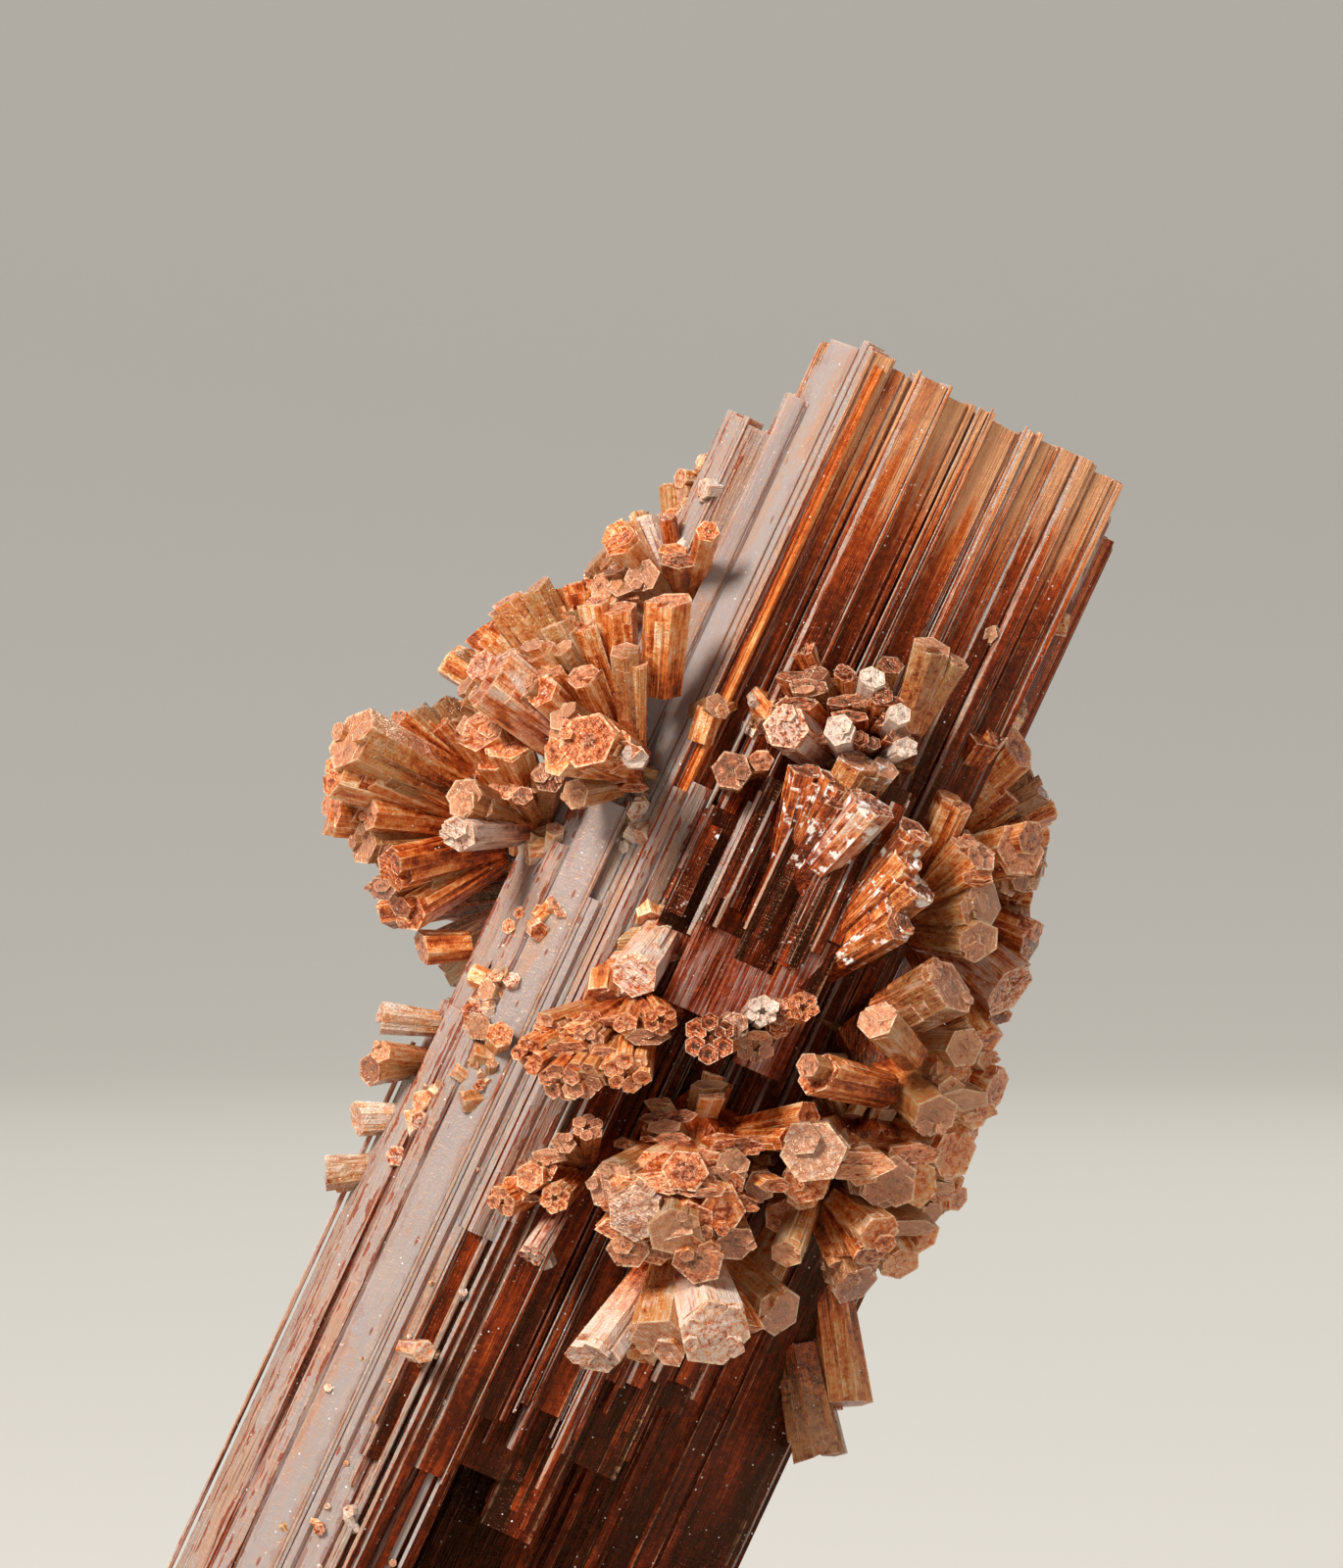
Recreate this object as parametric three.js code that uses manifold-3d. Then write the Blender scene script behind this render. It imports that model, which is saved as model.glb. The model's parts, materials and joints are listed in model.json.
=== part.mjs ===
// A specimen of aragonite: one leaning column of intergrown six-sided prisms, with sprays of short
// hexagonal crystals standing out of it. Everything grew together, so it is one solid.
// Units are millimetres. +X is to the right, +Y away from the viewer, +Z up, and the specimen stands on
// the flat cut across its foot at z = 0. Crystal places are given in the standing frame, before the
// last shift that brings the middle of the bounding box over the origin.

import * as THREE from "three";
import { mergeVertices } from "three/addons/utils/BufferGeometryUtils.js";
import Module from "manifold-3d";

const wasm = await Module();
wasm.setup();

// Driving dimensions
const LEAN = THREE.MathUtils.degToRad(24.9); // the column leans this far to the right
const COLUMN_FOOT_X = -10.0; // where the column's axis meets the floor
const COLUMN_TOP = 44.7; // length along the axis from floor to broken top end
const COLUMN_SUNK = -9.0; // the column starts this far below the floor and is then cut off
const CENTRE_X = -1.7; // middle of the bounding box in the standing frame
const CENTRE_Y = -0.33;
const CUT_SIZE = 120.0; // block that is cut away under the floor
const CUT_DEPTH = 40.0;
const SHORTEST_EDGE = 0.015; // edges shorter than this are closed up after the solids are joined
const SAME_POINT = 1e-5; // corners closer than this are one corner

const COLOUR = 0xb5673f;
const ROUGHNESS = 0.45;

// Column prisms: the outline across the column as [across, depth] points, then where the prism starts
// and ends along the axis. The column is modelled upright here and leant afterwards.
const COLUMN_PRISMS = [
  {
    // main prism with the pale face on its left and the fluted face on its right
    outline: [[-4.5, -2.6], [-3.0, -4.6], [5.5, -1.4], [5.55, 2.5], [1.0, 5.0], [-3.8, 3.0]],
    from: 15.5,
    to: 44.4,
  },
  { outline: [[-4.9, -1.9], [-4.2, -3.2], [-3.6, 1.6], [-4.6, 1.2]], from: 24.5, to: 42.9 },
  { outline: [[-4.3, -2.5], [-2.9, -4.4], [-0.6, -3.6], [0.6, 3.2], [-3.5, 2.8]], from: 6.8, to: 16.0 },
  // lower left bundle, from the floor to beside the sprays
  {
    outline: [[-6.5, -1.6], [-5.6, -3.4], [-2.4, -4.5], [-0.5, -3.6], [-0.4, 2.2], [-3.5, 3.4], [-6.2, 1.6]],
    from: COLUMN_SUNK,
    to: 27.6,
  },
  { outline: [[-6.7, -0.6], [-6.3, -2.1], [-5.2, -3.2], [-5.0, 1.0], [-6.4, 0.9]], from: COLUMN_SUNK, to: 19.2 },
  // prism set back behind the main one
  {
    outline: [[0.0, -0.2], [4.6, -0.9], [9.0, 1.2], [9.2, 4.4], [5.0, 6.6], [-0.8, 5.4]],
    from: COLUMN_SUNK,
    to: 24.0,
  },
  { outline: [[-6.3, -1.2], [-5.6, -2.2], [-4.1, -2.2], [-4.0, 1.4], [-5.9, 1.0]], from: 26.0, to: 41.7 },
  { outline: [[-6.0, -1.0], [-4.4, -1.4], [-4.2, 2.6], [-5.4, 1.8]], from: 24.0, to: 37.4 },
  { outline: [[-3.6, 2.2], [1.0, 4.4], [0.2, 5.8], [-3.4, 4.4]], from: 10.0, to: 41.8 },
  { outline: [[1.4, 4.2], [5.4, 2.2], [6.4, 3.6], [2.2, 5.9]], from: 14.0, to: 43.2 },
  { outline: [[4.9, -1.0], [5.7, -0.4], [5.8, 1.6], [5.0, 2.2]], from: 40.6, to: 43.6 },
  // stubs beside the foot, which end just above the floor
  { outline: [[8.6, 0.4], [11.9, 0.9], [12.3, 3.6], [9.0, 4.6]], from: COLUMN_SUNK, to: 8.9 },
  { outline: [[11.3, 0.1], [13.7, 0.8], [14.0, 2.6], [11.8, 3.4]], from: COLUMN_SUNK, to: 7.7 },
  { outline: [[9.4, 3.9], [12.4, 3.2], [12.8, 5.2], [10.2, 6.2]], from: COLUMN_SUNK, to: 7.2 },
];

// Flutes on the fluted face: left and right edge across the column, how proud they stand of the
// face, and both ends along the axis. Their lower ends are the steps above the dark recess.
const FLUTE_ROOT = 1.3; // a flute starts this deep inside the face
const FLUTE_SPLAY = 0.3; // and is this much wider there on each side, so that neighbours run into each other
const FLUTES = [
  { left: -3.1, right: -2.3, proud: 0.1, from: 7.0, to: COLUMN_TOP },
  { left: -1.6, right: -0.5, proud: 0.3, from: 6.8, to: 44.8 },
  { left: -0.5, right: 0.5, proud: 0.05, from: 8.4, to: 44.4 },
  { left: 0.5, right: 1.0, proud: 0.35, from: 9.4, to: 44.7 },
  { left: 1.0, right: 2.0, proud: 0.15, from: 10.6, to: 44.2 },
  { left: 2.0, right: 2.6, proud: 0.4, from: 8.8, to: 44.8 },
  { left: 2.6, right: 3.9, proud: 0.2, from: 11.6, to: 44.5 },
  { left: 3.9, right: 4.5, proud: 0.4, from: 13.4, to: 44.6 },
  { left: 4.5, right: 5.6, proud: 0.2, from: 12.6, to: 44.0 },
];
const FACE_LEFT = [-3.0, -4.6];
const FACE_RIGHT = [5.5, -1.4];

// Blocks that step down under the main prism, between the flutes and the prism set back
const STEP_BLOCKS = [
  { left: -0.8, right: 1.25, front: -3.2, back: 2.0, from: 9.0, to: 17.0 },
  { left: 1.1, right: 2.75, front: -2.7, back: 2.4, from: 7.6, to: 17.3 },
  { left: 2.55, right: 4.3, front: -2.2, back: 2.8, from: 10.4, to: 16.7 },
  { left: 4.1, right: 5.3, front: -1.6, back: 2.2, from: 13.0, to: 17.6 },
];

// Ribbed blocks in front of the fluted face, under the crown
const TERRACE_BLOCKS = [
  { left: -1.7, right: -0.5, front: -5.1, back: -3.6, from: 24.2, to: 30.4 },
  { left: -0.6, right: 0.9, front: -5.7, back: -3.2, from: 24.4, to: 31.6 },
  { left: 0.8, right: 2.2, front: -6.1, back: -2.7, from: 24.0, to: 32.2 },
  { left: 2.1, right: 3.6, front: -6.3, back: -2.2, from: 23.6, to: 33.0 },
];
const BLOCK_SLANT = 0.4; // a block's front edge is this much deeper on its right

// Sprays: crystals that grow from one seat. A crystal is [tip x, tip y, tip z, width]. The core is how
// far from the seat the roots have grown together into one lump.
const SPRAYS = {
  left: {
    seat: [-4.2, 1.0, 27.2],
    core: 3.2,
    tips: [
      [-9.7, -2.6, 30.2, 2.3], [-10.2, -2.2, 29.0, 1.6], [-10.3, -0.4, 27.9, 1.8], [-8.5, -0.6, 30.7, 1.3],
      [-7.9, 0.3, 31.0, 1.2], [-7.2, 1.2, 31.2, 1.2], [-6.5, 1.8, 31.2, 1.2], [-6.0, -1.2, 30.7, 1.5],
      [-9.3, 1.4, 28.8, 1.7], [-8.6, 1.4, 26.9, 1.6], [-9.4, -1.4, 27.0, 1.5], [-8.4, -2.4, 26.2, 1.6],
      [-8.0, -2.0, 24.9, 1.4],
    ],
  },
  left_front: {
    seat: [-3.9, -1.4, 27.4],
    tips: [[-6.4, -5.4, 27.3, 1.3], [-5.7, -3.6, 30.5, 1.9], [-4.9, -3.4, 28.8, 1.5], [-3.7, -4.6, 29.0, 1.1]],
  },
  shoulder: {
    seat: [-0.9, -0.5, 28.9],
    core: 3.6,
    tips: [
      [-6.8, 0.3, 32.6, 1.4], [-5.9, 0.8, 33.5, 1.4], [-4.9, -0.8, 34.3, 1.8], [-4.2, -1.2, 34.8, 1.4],
      [-2.6, -1.2, 34.9, 1.5], [-5.0, 1.6, 33.4, 1.5], [-6.2, -1.8, 31.8, 1.8], [-3.6, -0.2, 34.6, 1.4],
    ],
  },
  shoulder_front: {
    seat: [-1.2, -3.2, 28.8],
    core: 2.0,
    tips: [
      [-5.4, -5.0, 32.0, 2.4], [-3.9, -6.0, 31.6, 1.3], [-3.5, -4.6, 33.6, 1.5], [-2.3, -4.6, 34.2, 1.2],
      [-1.6, -5.0, 34.1, 1.2], [-2.9, -5.6, 28.5, 1.2],
    ],
  },
  needles: { seat: [-1.0, -4.4, 28.8], tips: [[-1.4, -6.2, 32.8, 1.0], [-1.0, -6.2, 32.4, 0.7]] },
  rosette: {
    seat: [-1.0, -3.6, 29.4],
    tips: [[-2.5, -7.8, 30.1, 2.1], [-1.1, -7.8, 29.6, 0.9], [-3.4, -6.6, 29.6, 1.3], [-3.2, -6.4, 30.8, 1.2]],
  },
  upright: { seat: [-0.4, -4.2, 30.4], tips: [[-0.1, -5.9, 34.3, 1.6]] },
  flank: {
    seat: [0.4, -0.8, 33.6],
    core: 2.0,
    tips: [
      [-1.5, -3.2, 36.1, 1.3], [-2.3, -0.8, 35.7, 1.4], [-1.7, 0.8, 36.5, 1.3], [-0.7, -0.4, 36.9, 1.1],
      [0.1, 0.4, 37.9, 1.0], [0.8, -0.2, 38.3, 0.9], [-2.5, 1.2, 34.8, 1.4], [-0.9, -3.4, 35.1, 1.2],
      [-1.9, -2.4, 34.7, 1.6], [1.1, -4.8, 36.4, 0.8],
    ],
  },
  crown: {
    seat: [5.5, -2.0, 29.1],
    core: 2.8,
    tips: [
      [6.0, -6.5, 32.0, 0.9], [6.8, -6.8, 30.9, 0.8], [5.0, -7.0, 30.4, 1.0], [7.0, -6.6, 29.9, 0.8],
      [3.4, -6.5, 30.5, 1.5], [4.3, -5.2, 32.1, 0.9], [3.9, -4.2, 32.9, 0.9], [6.6, -4.4, 32.4, 0.9],
    ],
  },
  crown_prisms: { seat: [6.8, -3.4, 29.5], tips: [[7.8, -5.0, 32.9, 1.4], [8.6, -4.8, 32.5, 0.9]] },
  terrace: {
    seat: [2.9, -4.2, 24.6],
    tips: [
      [4.0, -6.6, 29.2, 1.2], [4.9, -6.6, 28.9, 1.3], [5.6, -6.4, 29.5, 1.3], [6.4, -6.2, 29.3, 1.0],
      [6.0, -7.4, 28.2, 1.7],
    ],
  },
  terrace_edge: {
    seat: [3.6, -3.8, 22.6],
    tips: [[7.3, -6.8, 27.4, 1.4], [7.0, -7.0, 26.6, 1.2], [7.4, -6.9, 25.7, 1.4], [6.8, -7.0, 24.6, 1.2]],
  },
  plate: { seat: [1.9, -2.8, 28.9], tips: [[1.8, -6.5, 29.2, 1.3], [2.7, -6.2, 29.5, 0.8]] },
  right: {
    seat: [6.5, 1.0, 25.8],
    core: 3.2,
    tips: [
      [9.6, -1.8, 30.4, 1.5], [10.6, -0.8, 29.9, 1.7], [11.2, 0.6, 28.8, 1.6], [11.5, 1.6, 28.1, 1.4],
      [11.4, 0.6, 26.2, 1.6], [10.6, -2.2, 26.8, 2.0], [11.0, -0.8, 24.0, 1.8], [10.3, -1.4, 22.5, 2.1],
      [9.5, -0.8, 20.9, 1.6], [10.4, 2.4, 30.2, 1.4], [9.6, 1.4, 31.0, 1.4],
    ],
  },
  right_front: {
    seat: [6.8, -2.8, 24.4],
    core: 1.8,
    tips: [[9.4, -5.2, 25.3, 1.7], [9.2, -5.8, 24.1, 1.5], [9.2, -4.4, 26.2, 1.6], [8.5, -4.6, 28.3, 1.3]],
  },
  block: { seat: [5.8, -4.2, 21.4], tips: [[8.3, -6.8, 22.8, 2.1]] },
  belt_upper: {
    seat: [5.4, -0.9, 21.0],
    core: 4.2,
    tips: [[7.9, -6.4, 18.9, 1.6], [9.8, -3.4, 19.5, 1.7], [9.0, -2.8, 18.3, 1.6], [8.8, -5.2, 20.9, 1.5]],
  },
  lying_short: { seat: [7.6, -4.8, 20.2], tips: [[6.1, -7.6, 21.8, 1.4]] },
  lying_long: { seat: [7.3, -4.4, 19.4], tips: [[4.3, -8.0, 20.2, 1.5], [4.0, -8.6, 20.5, 0.9]] },
  belt_right: {
    seat: [4.9, -0.9, 18.2],
    core: 4.4,
    tips: [
      [8.5, -3.6, 17.8, 2.0], [8.5, -2.4, 16.4, 1.6], [4.2, -8.2, 17.9, 2.1], [7.4, -5.0, 16.8, 1.7],
      [7.6, -2.6, 15.0, 1.5], [6.9, -3.8, 14.3, 1.4], [3.4, -7.4, 14.8, 1.1],
    ],
  },
  clear_down: { seat: [4.6, -3.6, 16.6], tips: [[5.5, -5.8, 13.8, 1.6], [6.2, -6.6, 15.4, 1.5]] },
  belt_middle: {
    seat: [0.6, -2.6, 18.0],
    core: 4.2,
    tips: [
      [-1.8, -8.6, 16.9, 1.6], [-1.1, -9.2, 16.1, 1.8], [-1.3, -8.6, 15.0, 1.4], [0.4, -9.5, 17.4, 1.5],
      [0.1, -9.5, 15.6, 1.8], [1.8, -8.6, 17.5, 1.2], [1.5, -9.2, 16.2, 1.5], [0.8, -9.0, 14.7, 1.6],
      [1.9, -8.8, 15.2, 1.4], [4.1, -7.0, 18.9, 1.1],
    ],
  },
  hanging: {
    seat: [0.4, -4.4, 15.4],
    tips: [[-2.3, -7.6, 11.9, 1.8], [1.3, -9.0, 12.6, 2.4], [3.2, -6.8, 13.1, 1.7], [-0.9, -5.8, 11.7, 1.1]],
  },
  belt_left: {
    seat: [-0.9, -3.0, 22.5],
    core: 2.4,
    tips: [
      [-4.3, -7.0, 20.7, 1.3], [-3.3, -7.6, 19.9, 1.6], [-2.5, -7.4, 21.1, 1.1], [-1.3, -8.2, 20.2, 1.5],
      [-0.3, -8.2, 21.8, 1.1], [-3.8, -6.4, 21.5, 1.1],
    ],
  },
  fan: { seat: [0.1, -3.4, 24.9], tips: [[-1.1, -6.2, 23.1, 1.6]] },
  rose: {
    seat: [2.1, -2.6, 21.3],
    tips: [[1.1, -9.0, 21.3, 1.6], [2.7, -8.5, 22.1, 1.0], [3.9, -8.4, 22.2, 1.0], [2.5, -7.5, 21.0, 1.2]],
  },
  low_left: {
    seat: [-2.6, -2.8, 17.2],
    tips: [[-4.3, -6.2, 17.3, 0.9], [-5.1, -6.0, 16.3, 1.1], [-4.2, -6.2, 14.7, 0.9], [-2.5, -7.0, 18.6, 1.0]],
  },
  // short crystals that stand off the column's left edge
  edge_1: { seat: [-5.6, -0.8, 23.9], tips: [[-7.6, -1.5, 23.8, 1.3]] },
  edge_2: { seat: [-6.4, -1.2, 21.4], tips: [[-8.8, -2.0, 21.7, 1.3]] },
  edge_3: { seat: [-7.0, -0.8, 20.4], tips: [[-9.2, -1.5, 20.1, 1.2], [-8.8, -2.8, 20.7, 0.8]] },
  edge_4: { seat: [-7.6, -0.8, 18.6], tips: [[-9.6, -1.2, 18.6, 1.2]] },
  edge_5: { seat: [-8.2, -0.6, 17.1], tips: [[-10.4, -1.0, 16.9, 1.3]] },
  edge_6: { seat: [-8.6, -2.8, 11.8], tips: [[-7.4, -5.4, 11.8, 0.8]] },
  // blocks hanging from the right edge of the prism set back
  hanging_1: { seat: [4.6, 1.4, 15.0], tips: [[5.35, 1.2, 9.7, 1.8]] },
  hanging_2: { seat: [3.6, 1.2, 13.0], tips: [[4.5, 0.9, 8.3, 1.8]] },
  // crystals at the foot, cut flat with it
  foot: {
    seat: [-1.0, 2.2, 4.6],
    tips: [[4.6, 0.4, 1.6, 1.8], [5.2, 2.6, 0.8, 2.0], [4.4, 4.8, 1.4, 1.8]],
  },
  foot_front: {
    seat: [-2.4, 1.6, 4.2],
    tips: [[-4.6, -4.6, 0.9, 2.0], [-2.0, -5.0, 0.6, 2.1], [0.8, -4.8, 0.9, 2.0], [3.2, -3.4, 0.6, 2.1]],
  },
};

// Sprays on the side turned away from the viewer, each a fan of crystals about its own direction
const BACK_SPRAYS = {
  upper: { seat: [1.4, 2.4, 31.2], toward: [-0.5, 0.8, 0.35], reach: 5.6, count: 6, seed: 11 },
  right: { seat: [6.2, 2.6, 26.4], toward: [0.62, 0.75, 0.2], reach: 5.4, count: 7, seed: 23 },
  left: { seat: [-3.4, 1.8, 25.8], toward: [-0.55, 0.83, -0.05], reach: 5.6, count: 6, seed: 37 },
  belt: { seat: [2.6, 3.6, 20.6], toward: [0.1, 0.99, 0.1], reach: 5.8, count: 6, seed: 41 },
  low: { seat: [-2.6, 4.0, 13.2], toward: [0.1, 0.97, -0.22], reach: 4.6, count: 5, seed: 59 },
};
const BACK_SPREAD = 0.85; // sideways part of a back crystal's direction, against 1 along the fan
const BACK_WIDTH = [1.1, 2.0];

// Crystal form
const CORE_GIRTH = 0.62; // radius of the lump at a spray's roots, as a share of how far it reaches
const ROOT_SHARE = [0.66, 0.86]; // root width as a share of the tip width: the crystals flare outwards
const FLATNESS = [0.84, 1.0]; // the six-sided section is a little flatter one way
const ROLL_MOST = Math.PI / 3;

// A repeatable random source, so that the same crystal always comes out the same.
function randomSource(seed) {
  let state = seed;
  return () => {
    state = (state + 0x6d2b79f5) | 0;
    let mixed = Math.imul(state ^ (state >>> 15), 1 | state);
    mixed = (mixed + Math.imul(mixed ^ (mixed >>> 7), 61 | mixed)) ^ mixed;
    return ((mixed ^ (mixed >>> 14)) >>> 0) / 4294967296;
  };
}

function between([low, high], share) {
  return low + (high - low) * share;
}

// A three.js geometry as a solid that can be joined and cut.
function solidOf(geometry) {
  const bare = geometry.clone();
  bare.deleteAttribute("normal");
  bare.deleteAttribute("uv");
  const merged = mergeVertices(bare, SAME_POINT);
  return new wasm.Manifold(
    new wasm.Mesh({
      numProp: 3,
      vertProperties: merged.attributes.position.array,
      triVerts: new Uint32Array(merged.index.array),
    }),
  );
}

function geometryOf(solid) {
  const mesh = solid.getMesh();
  const positions = new Float32Array(mesh.numVert * 3);
  for (let vertex = 0; vertex < mesh.numVert; vertex += 1) {
    const start = vertex * mesh.numProp;
    positions.set(mesh.vertProperties.subarray(start, start + 3), vertex * 3);
  }
  const geometry = new THREE.BufferGeometry();
  geometry.setAttribute("position", new THREE.BufferAttribute(positions, 3));
  geometry.setIndex(new THREE.BufferAttribute(mesh.triVerts, 1));
  geometry.computeVertexNormals();
  return geometry;
}

// A prism of the column: its outline carried along the axis, then leant over.
function columnPrism(outline, from, to) {
  const shape = new THREE.Shape(outline.map(([across, depth]) => new THREE.Vector2(across, depth)));
  const geometry = new THREE.ExtrudeGeometry(shape, { depth: to - from, bevelEnabled: false });
  geometry.translate(0, 0, from);
  geometry.rotateY(LEAN);
  geometry.translate(COLUMN_FOOT_X, 0, 0);
  return solidOf(geometry);
}

// Depth of the fluted face at a place across the column.
function faceDepth(across) {
  const share = (across - FACE_LEFT[0]) / (FACE_RIGHT[0] - FACE_LEFT[0]);
  return between([FACE_LEFT[1], FACE_RIGHT[1]], share);
}

// A flute: a strip with two bevelled edges that stands proud of the fluted face.
function flute({ left, right, proud, from, to }) {
  const bevel = (right - left) * 0.18;
  const outline = [
    [left - FLUTE_SPLAY, faceDepth(left) + FLUTE_ROOT],
    [left, faceDepth(left) - proud * 0.4],
    [left + bevel, faceDepth(left + bevel) - proud],
    [right - bevel, faceDepth(right - bevel) - proud],
    [right, faceDepth(right) - proud * 0.4],
    [right + FLUTE_SPLAY, faceDepth(right) + FLUTE_ROOT],
  ];
  return columnPrism(outline, from, to);
}

function block({ left, right, front, back, from, to }) {
  return columnPrism([[left, front], [right, front + BLOCK_SLANT], [right, back], [left, back]], from, to);
}

// One hexagonal crystal from its seat to its tip, where it ends in a flat six-sided face.
function crystal(seat, tip, width, seed) {
  const random = randomSource(seed);
  const roll = random() * ROLL_MOST;
  const flatness = between(FLATNESS, random());
  const rootShare = between(ROOT_SHARE, random());
  const from = new THREE.Vector3(...seat);
  const along = new THREE.Vector3(...tip).sub(from);
  const length = along.length();
  along.normalize();
  const upright = Math.abs(along.z) > 0.95 ? new THREE.Vector3(0, 1, 0) : new THREE.Vector3(0, 0, 1);
  const side = new THREE.Vector3().crossVectors(upright, along).normalize();
  const over = new THREE.Vector3().crossVectors(along, side);

  const geometry = new THREE.CylinderGeometry(width / 2, (width / 2) * rootShare, length, 6);
  geometry.rotateX(Math.PI / 2);
  geometry.rotateZ(roll);
  geometry.scale(1, flatness, 1);
  geometry.translate(0, 0, length / 2);
  geometry.applyMatrix4(new THREE.Matrix4().makeBasis(side, over, along).setPosition(from));
  return solidOf(geometry);
}

// The lump that a spray's crystals grow out of, as far from the seat as their roots run together.
function sprayCore(seat, tips, reach) {
  const from = new THREE.Vector3(...seat);
  const outward = new THREE.Vector3();
  tips.forEach(([x, y, z]) => outward.add(new THREE.Vector3(x, y, z).sub(from).normalize()));
  const lump = new THREE.IcosahedronGeometry(reach * CORE_GIRTH, 0);
  lump.translate(...from.addScaledVector(outward.normalize(), reach * (1 - CORE_GIRTH)).toArray());
  return solidOf(lump);
}

// The crystals of one spray. Each takes its own seed from its spray's place and its own in the list.
function spray({ seat, core, tips }, number) {
  const crystals = tips.map(([x, y, z, width], index) =>
    crystal(seat, [x, y, z], width, 1000 * (number + 1) + index),
  );
  return core ? [sprayCore(seat, tips, core), ...crystals] : crystals;
}

// A fan of crystals on the far side, spread evenly around its own direction.
function backSpray({ seat, toward, reach, count, seed }) {
  const random = randomSource(seed);
  const middle = new THREE.Vector3(...toward).normalize();
  const side = new THREE.Vector3().crossVectors(new THREE.Vector3(0, 0, 1), middle).normalize();
  const over = new THREE.Vector3().crossVectors(middle, side);
  const goldenAngle = Math.PI * (3 - Math.sqrt(5));
  const made = [];
  for (let index = 0; index < count; index += 1) {
    const away = BACK_SPREAD * Math.sqrt(index / count);
    const around = index * goldenAngle + 0.4 * random();
    const direction = middle
      .clone()
      .addScaledVector(side, away * Math.cos(around))
      .addScaledVector(over, away * Math.sin(around))
      .normalize();
    const length = reach * between([0.78, 1.05], random());
    const width = between(BACK_WIDTH, random());
    const tip = direction.multiplyScalar(length).add(new THREE.Vector3(...seat));
    made.push(crystal(seat, tip.toArray(), width, seed * 100 + index));
  }
  return made;
}

// The outer skin alone: pockets closed in between the crystals are filled.
function withoutPockets(solid) {
  return solid.decompose().reduce((largest, body) => (body.volume() > largest.volume() ? body : largest));
}

// All pieces joined, and everything below the floor cut away.
function specimen() {
  const pieces = [
    ...COLUMN_PRISMS.map(({ outline, from, to }) => columnPrism(outline, from, to)),
    ...FLUTES.map(flute),
    ...[...STEP_BLOCKS, ...TERRACE_BLOCKS].map(block),
    ...Object.values(SPRAYS).flatMap(spray),
    ...Object.values(BACK_SPRAYS).flatMap(backSpray),
  ];
  const grown = pieces.reduce((joined, piece) => joined.add(piece));
  const underFloor = new THREE.BoxGeometry(CUT_SIZE, CUT_SIZE, CUT_DEPTH);
  underFloor.translate(0, 0, -CUT_DEPTH / 2);
  return withoutPockets(grown.subtract(solidOf(underFloor)).simplify(SHORTEST_EDGE));
}

const cluster = new THREE.Mesh(
  geometryOf(specimen()),
  new THREE.MeshStandardMaterial({ color: COLOUR, roughness: ROUGHNESS, metalness: 0, flatShading: true }),
);
cluster.name = "aragonite_cluster";

const group = new THREE.Group();
cluster.position.set(-CENTRE_X, -CENTRE_Y, 0);
group.add(cluster);

export default group;
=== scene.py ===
"""Looks of the aragonite specimen: its column, sprays, grains, finishes and studio.

Crystals are laid out in millimetres in the standing frame of the specimen, with the floor at z = 0 and
+Y away from the camera. A finished piece is scaled to metres and shifted over the frame's origin.
"""

import json
import logging
import math
import random
from collections.abc import Callable, Iterable, Sequence
from dataclasses import dataclass, replace
from enum import Enum
from typing import Any, NamedTuple

import bmesh
import bpy
from mathutils import Matrix, Vector

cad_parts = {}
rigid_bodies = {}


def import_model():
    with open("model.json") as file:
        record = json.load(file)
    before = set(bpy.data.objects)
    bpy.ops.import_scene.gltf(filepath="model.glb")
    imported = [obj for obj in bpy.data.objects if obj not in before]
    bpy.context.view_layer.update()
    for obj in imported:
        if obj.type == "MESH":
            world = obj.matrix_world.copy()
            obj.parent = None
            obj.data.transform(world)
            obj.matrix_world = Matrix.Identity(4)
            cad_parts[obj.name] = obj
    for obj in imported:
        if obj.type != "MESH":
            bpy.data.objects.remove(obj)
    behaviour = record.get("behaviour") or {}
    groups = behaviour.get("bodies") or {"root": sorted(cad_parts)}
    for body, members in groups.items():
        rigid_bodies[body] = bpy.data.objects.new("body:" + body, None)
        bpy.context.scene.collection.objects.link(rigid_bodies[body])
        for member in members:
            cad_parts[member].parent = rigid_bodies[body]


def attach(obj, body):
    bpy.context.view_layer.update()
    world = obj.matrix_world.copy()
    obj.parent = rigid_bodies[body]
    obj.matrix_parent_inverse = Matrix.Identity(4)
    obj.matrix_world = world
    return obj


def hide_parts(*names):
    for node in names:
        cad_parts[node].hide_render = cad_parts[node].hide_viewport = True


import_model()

log = logging.getLogger("aragonite")

NODE = "aragonite_cluster"

# How the column stands, its other values in millimetres
LEAN = math.radians(24.9)
COLUMN_FOOT_X = -10.0
COLUMN_SUNK = -9.0
CENTRE_X = -1.7
CENTRE_Y = -0.33

# The block that cuts pieces off at the floor
GROUND_SIZE = 80.0

MILLIMETRE = 0.001
STANDING = Matrix.Translation((COLUMN_FOOT_X, 0.0, 0.0)) @ Matrix.Rotation(LEAN, 4, "Y")
TO_METRES = Matrix.Scale(MILLIMETRE, 4) @ Matrix.Translation((-CENTRE_X, -CENTRE_Y, 0.0))

# A face belongs to a prism's end where its normal rises or falls more than this
END_SLOPE = 0.8

# How far a hexagon's sides are from its middle, as a share of its corners' distance
HEXAGON_FLAT = 0.87

# Small crystals on a spray's lump of roots, for each millimetre of its size
ROOT_CRYSTALS = 9.0

# Seeds: how far one spray's are from the next one's, where two groups start, and the top of those drawn
SPRAY_SEEDS = 1000
INFILL_SEEDS = 500000
ROOT_SEEDS = 800000
SEED_LIMIT = 1 << 30

Point = tuple[float, float]
Place = tuple[float, float, float]


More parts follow.
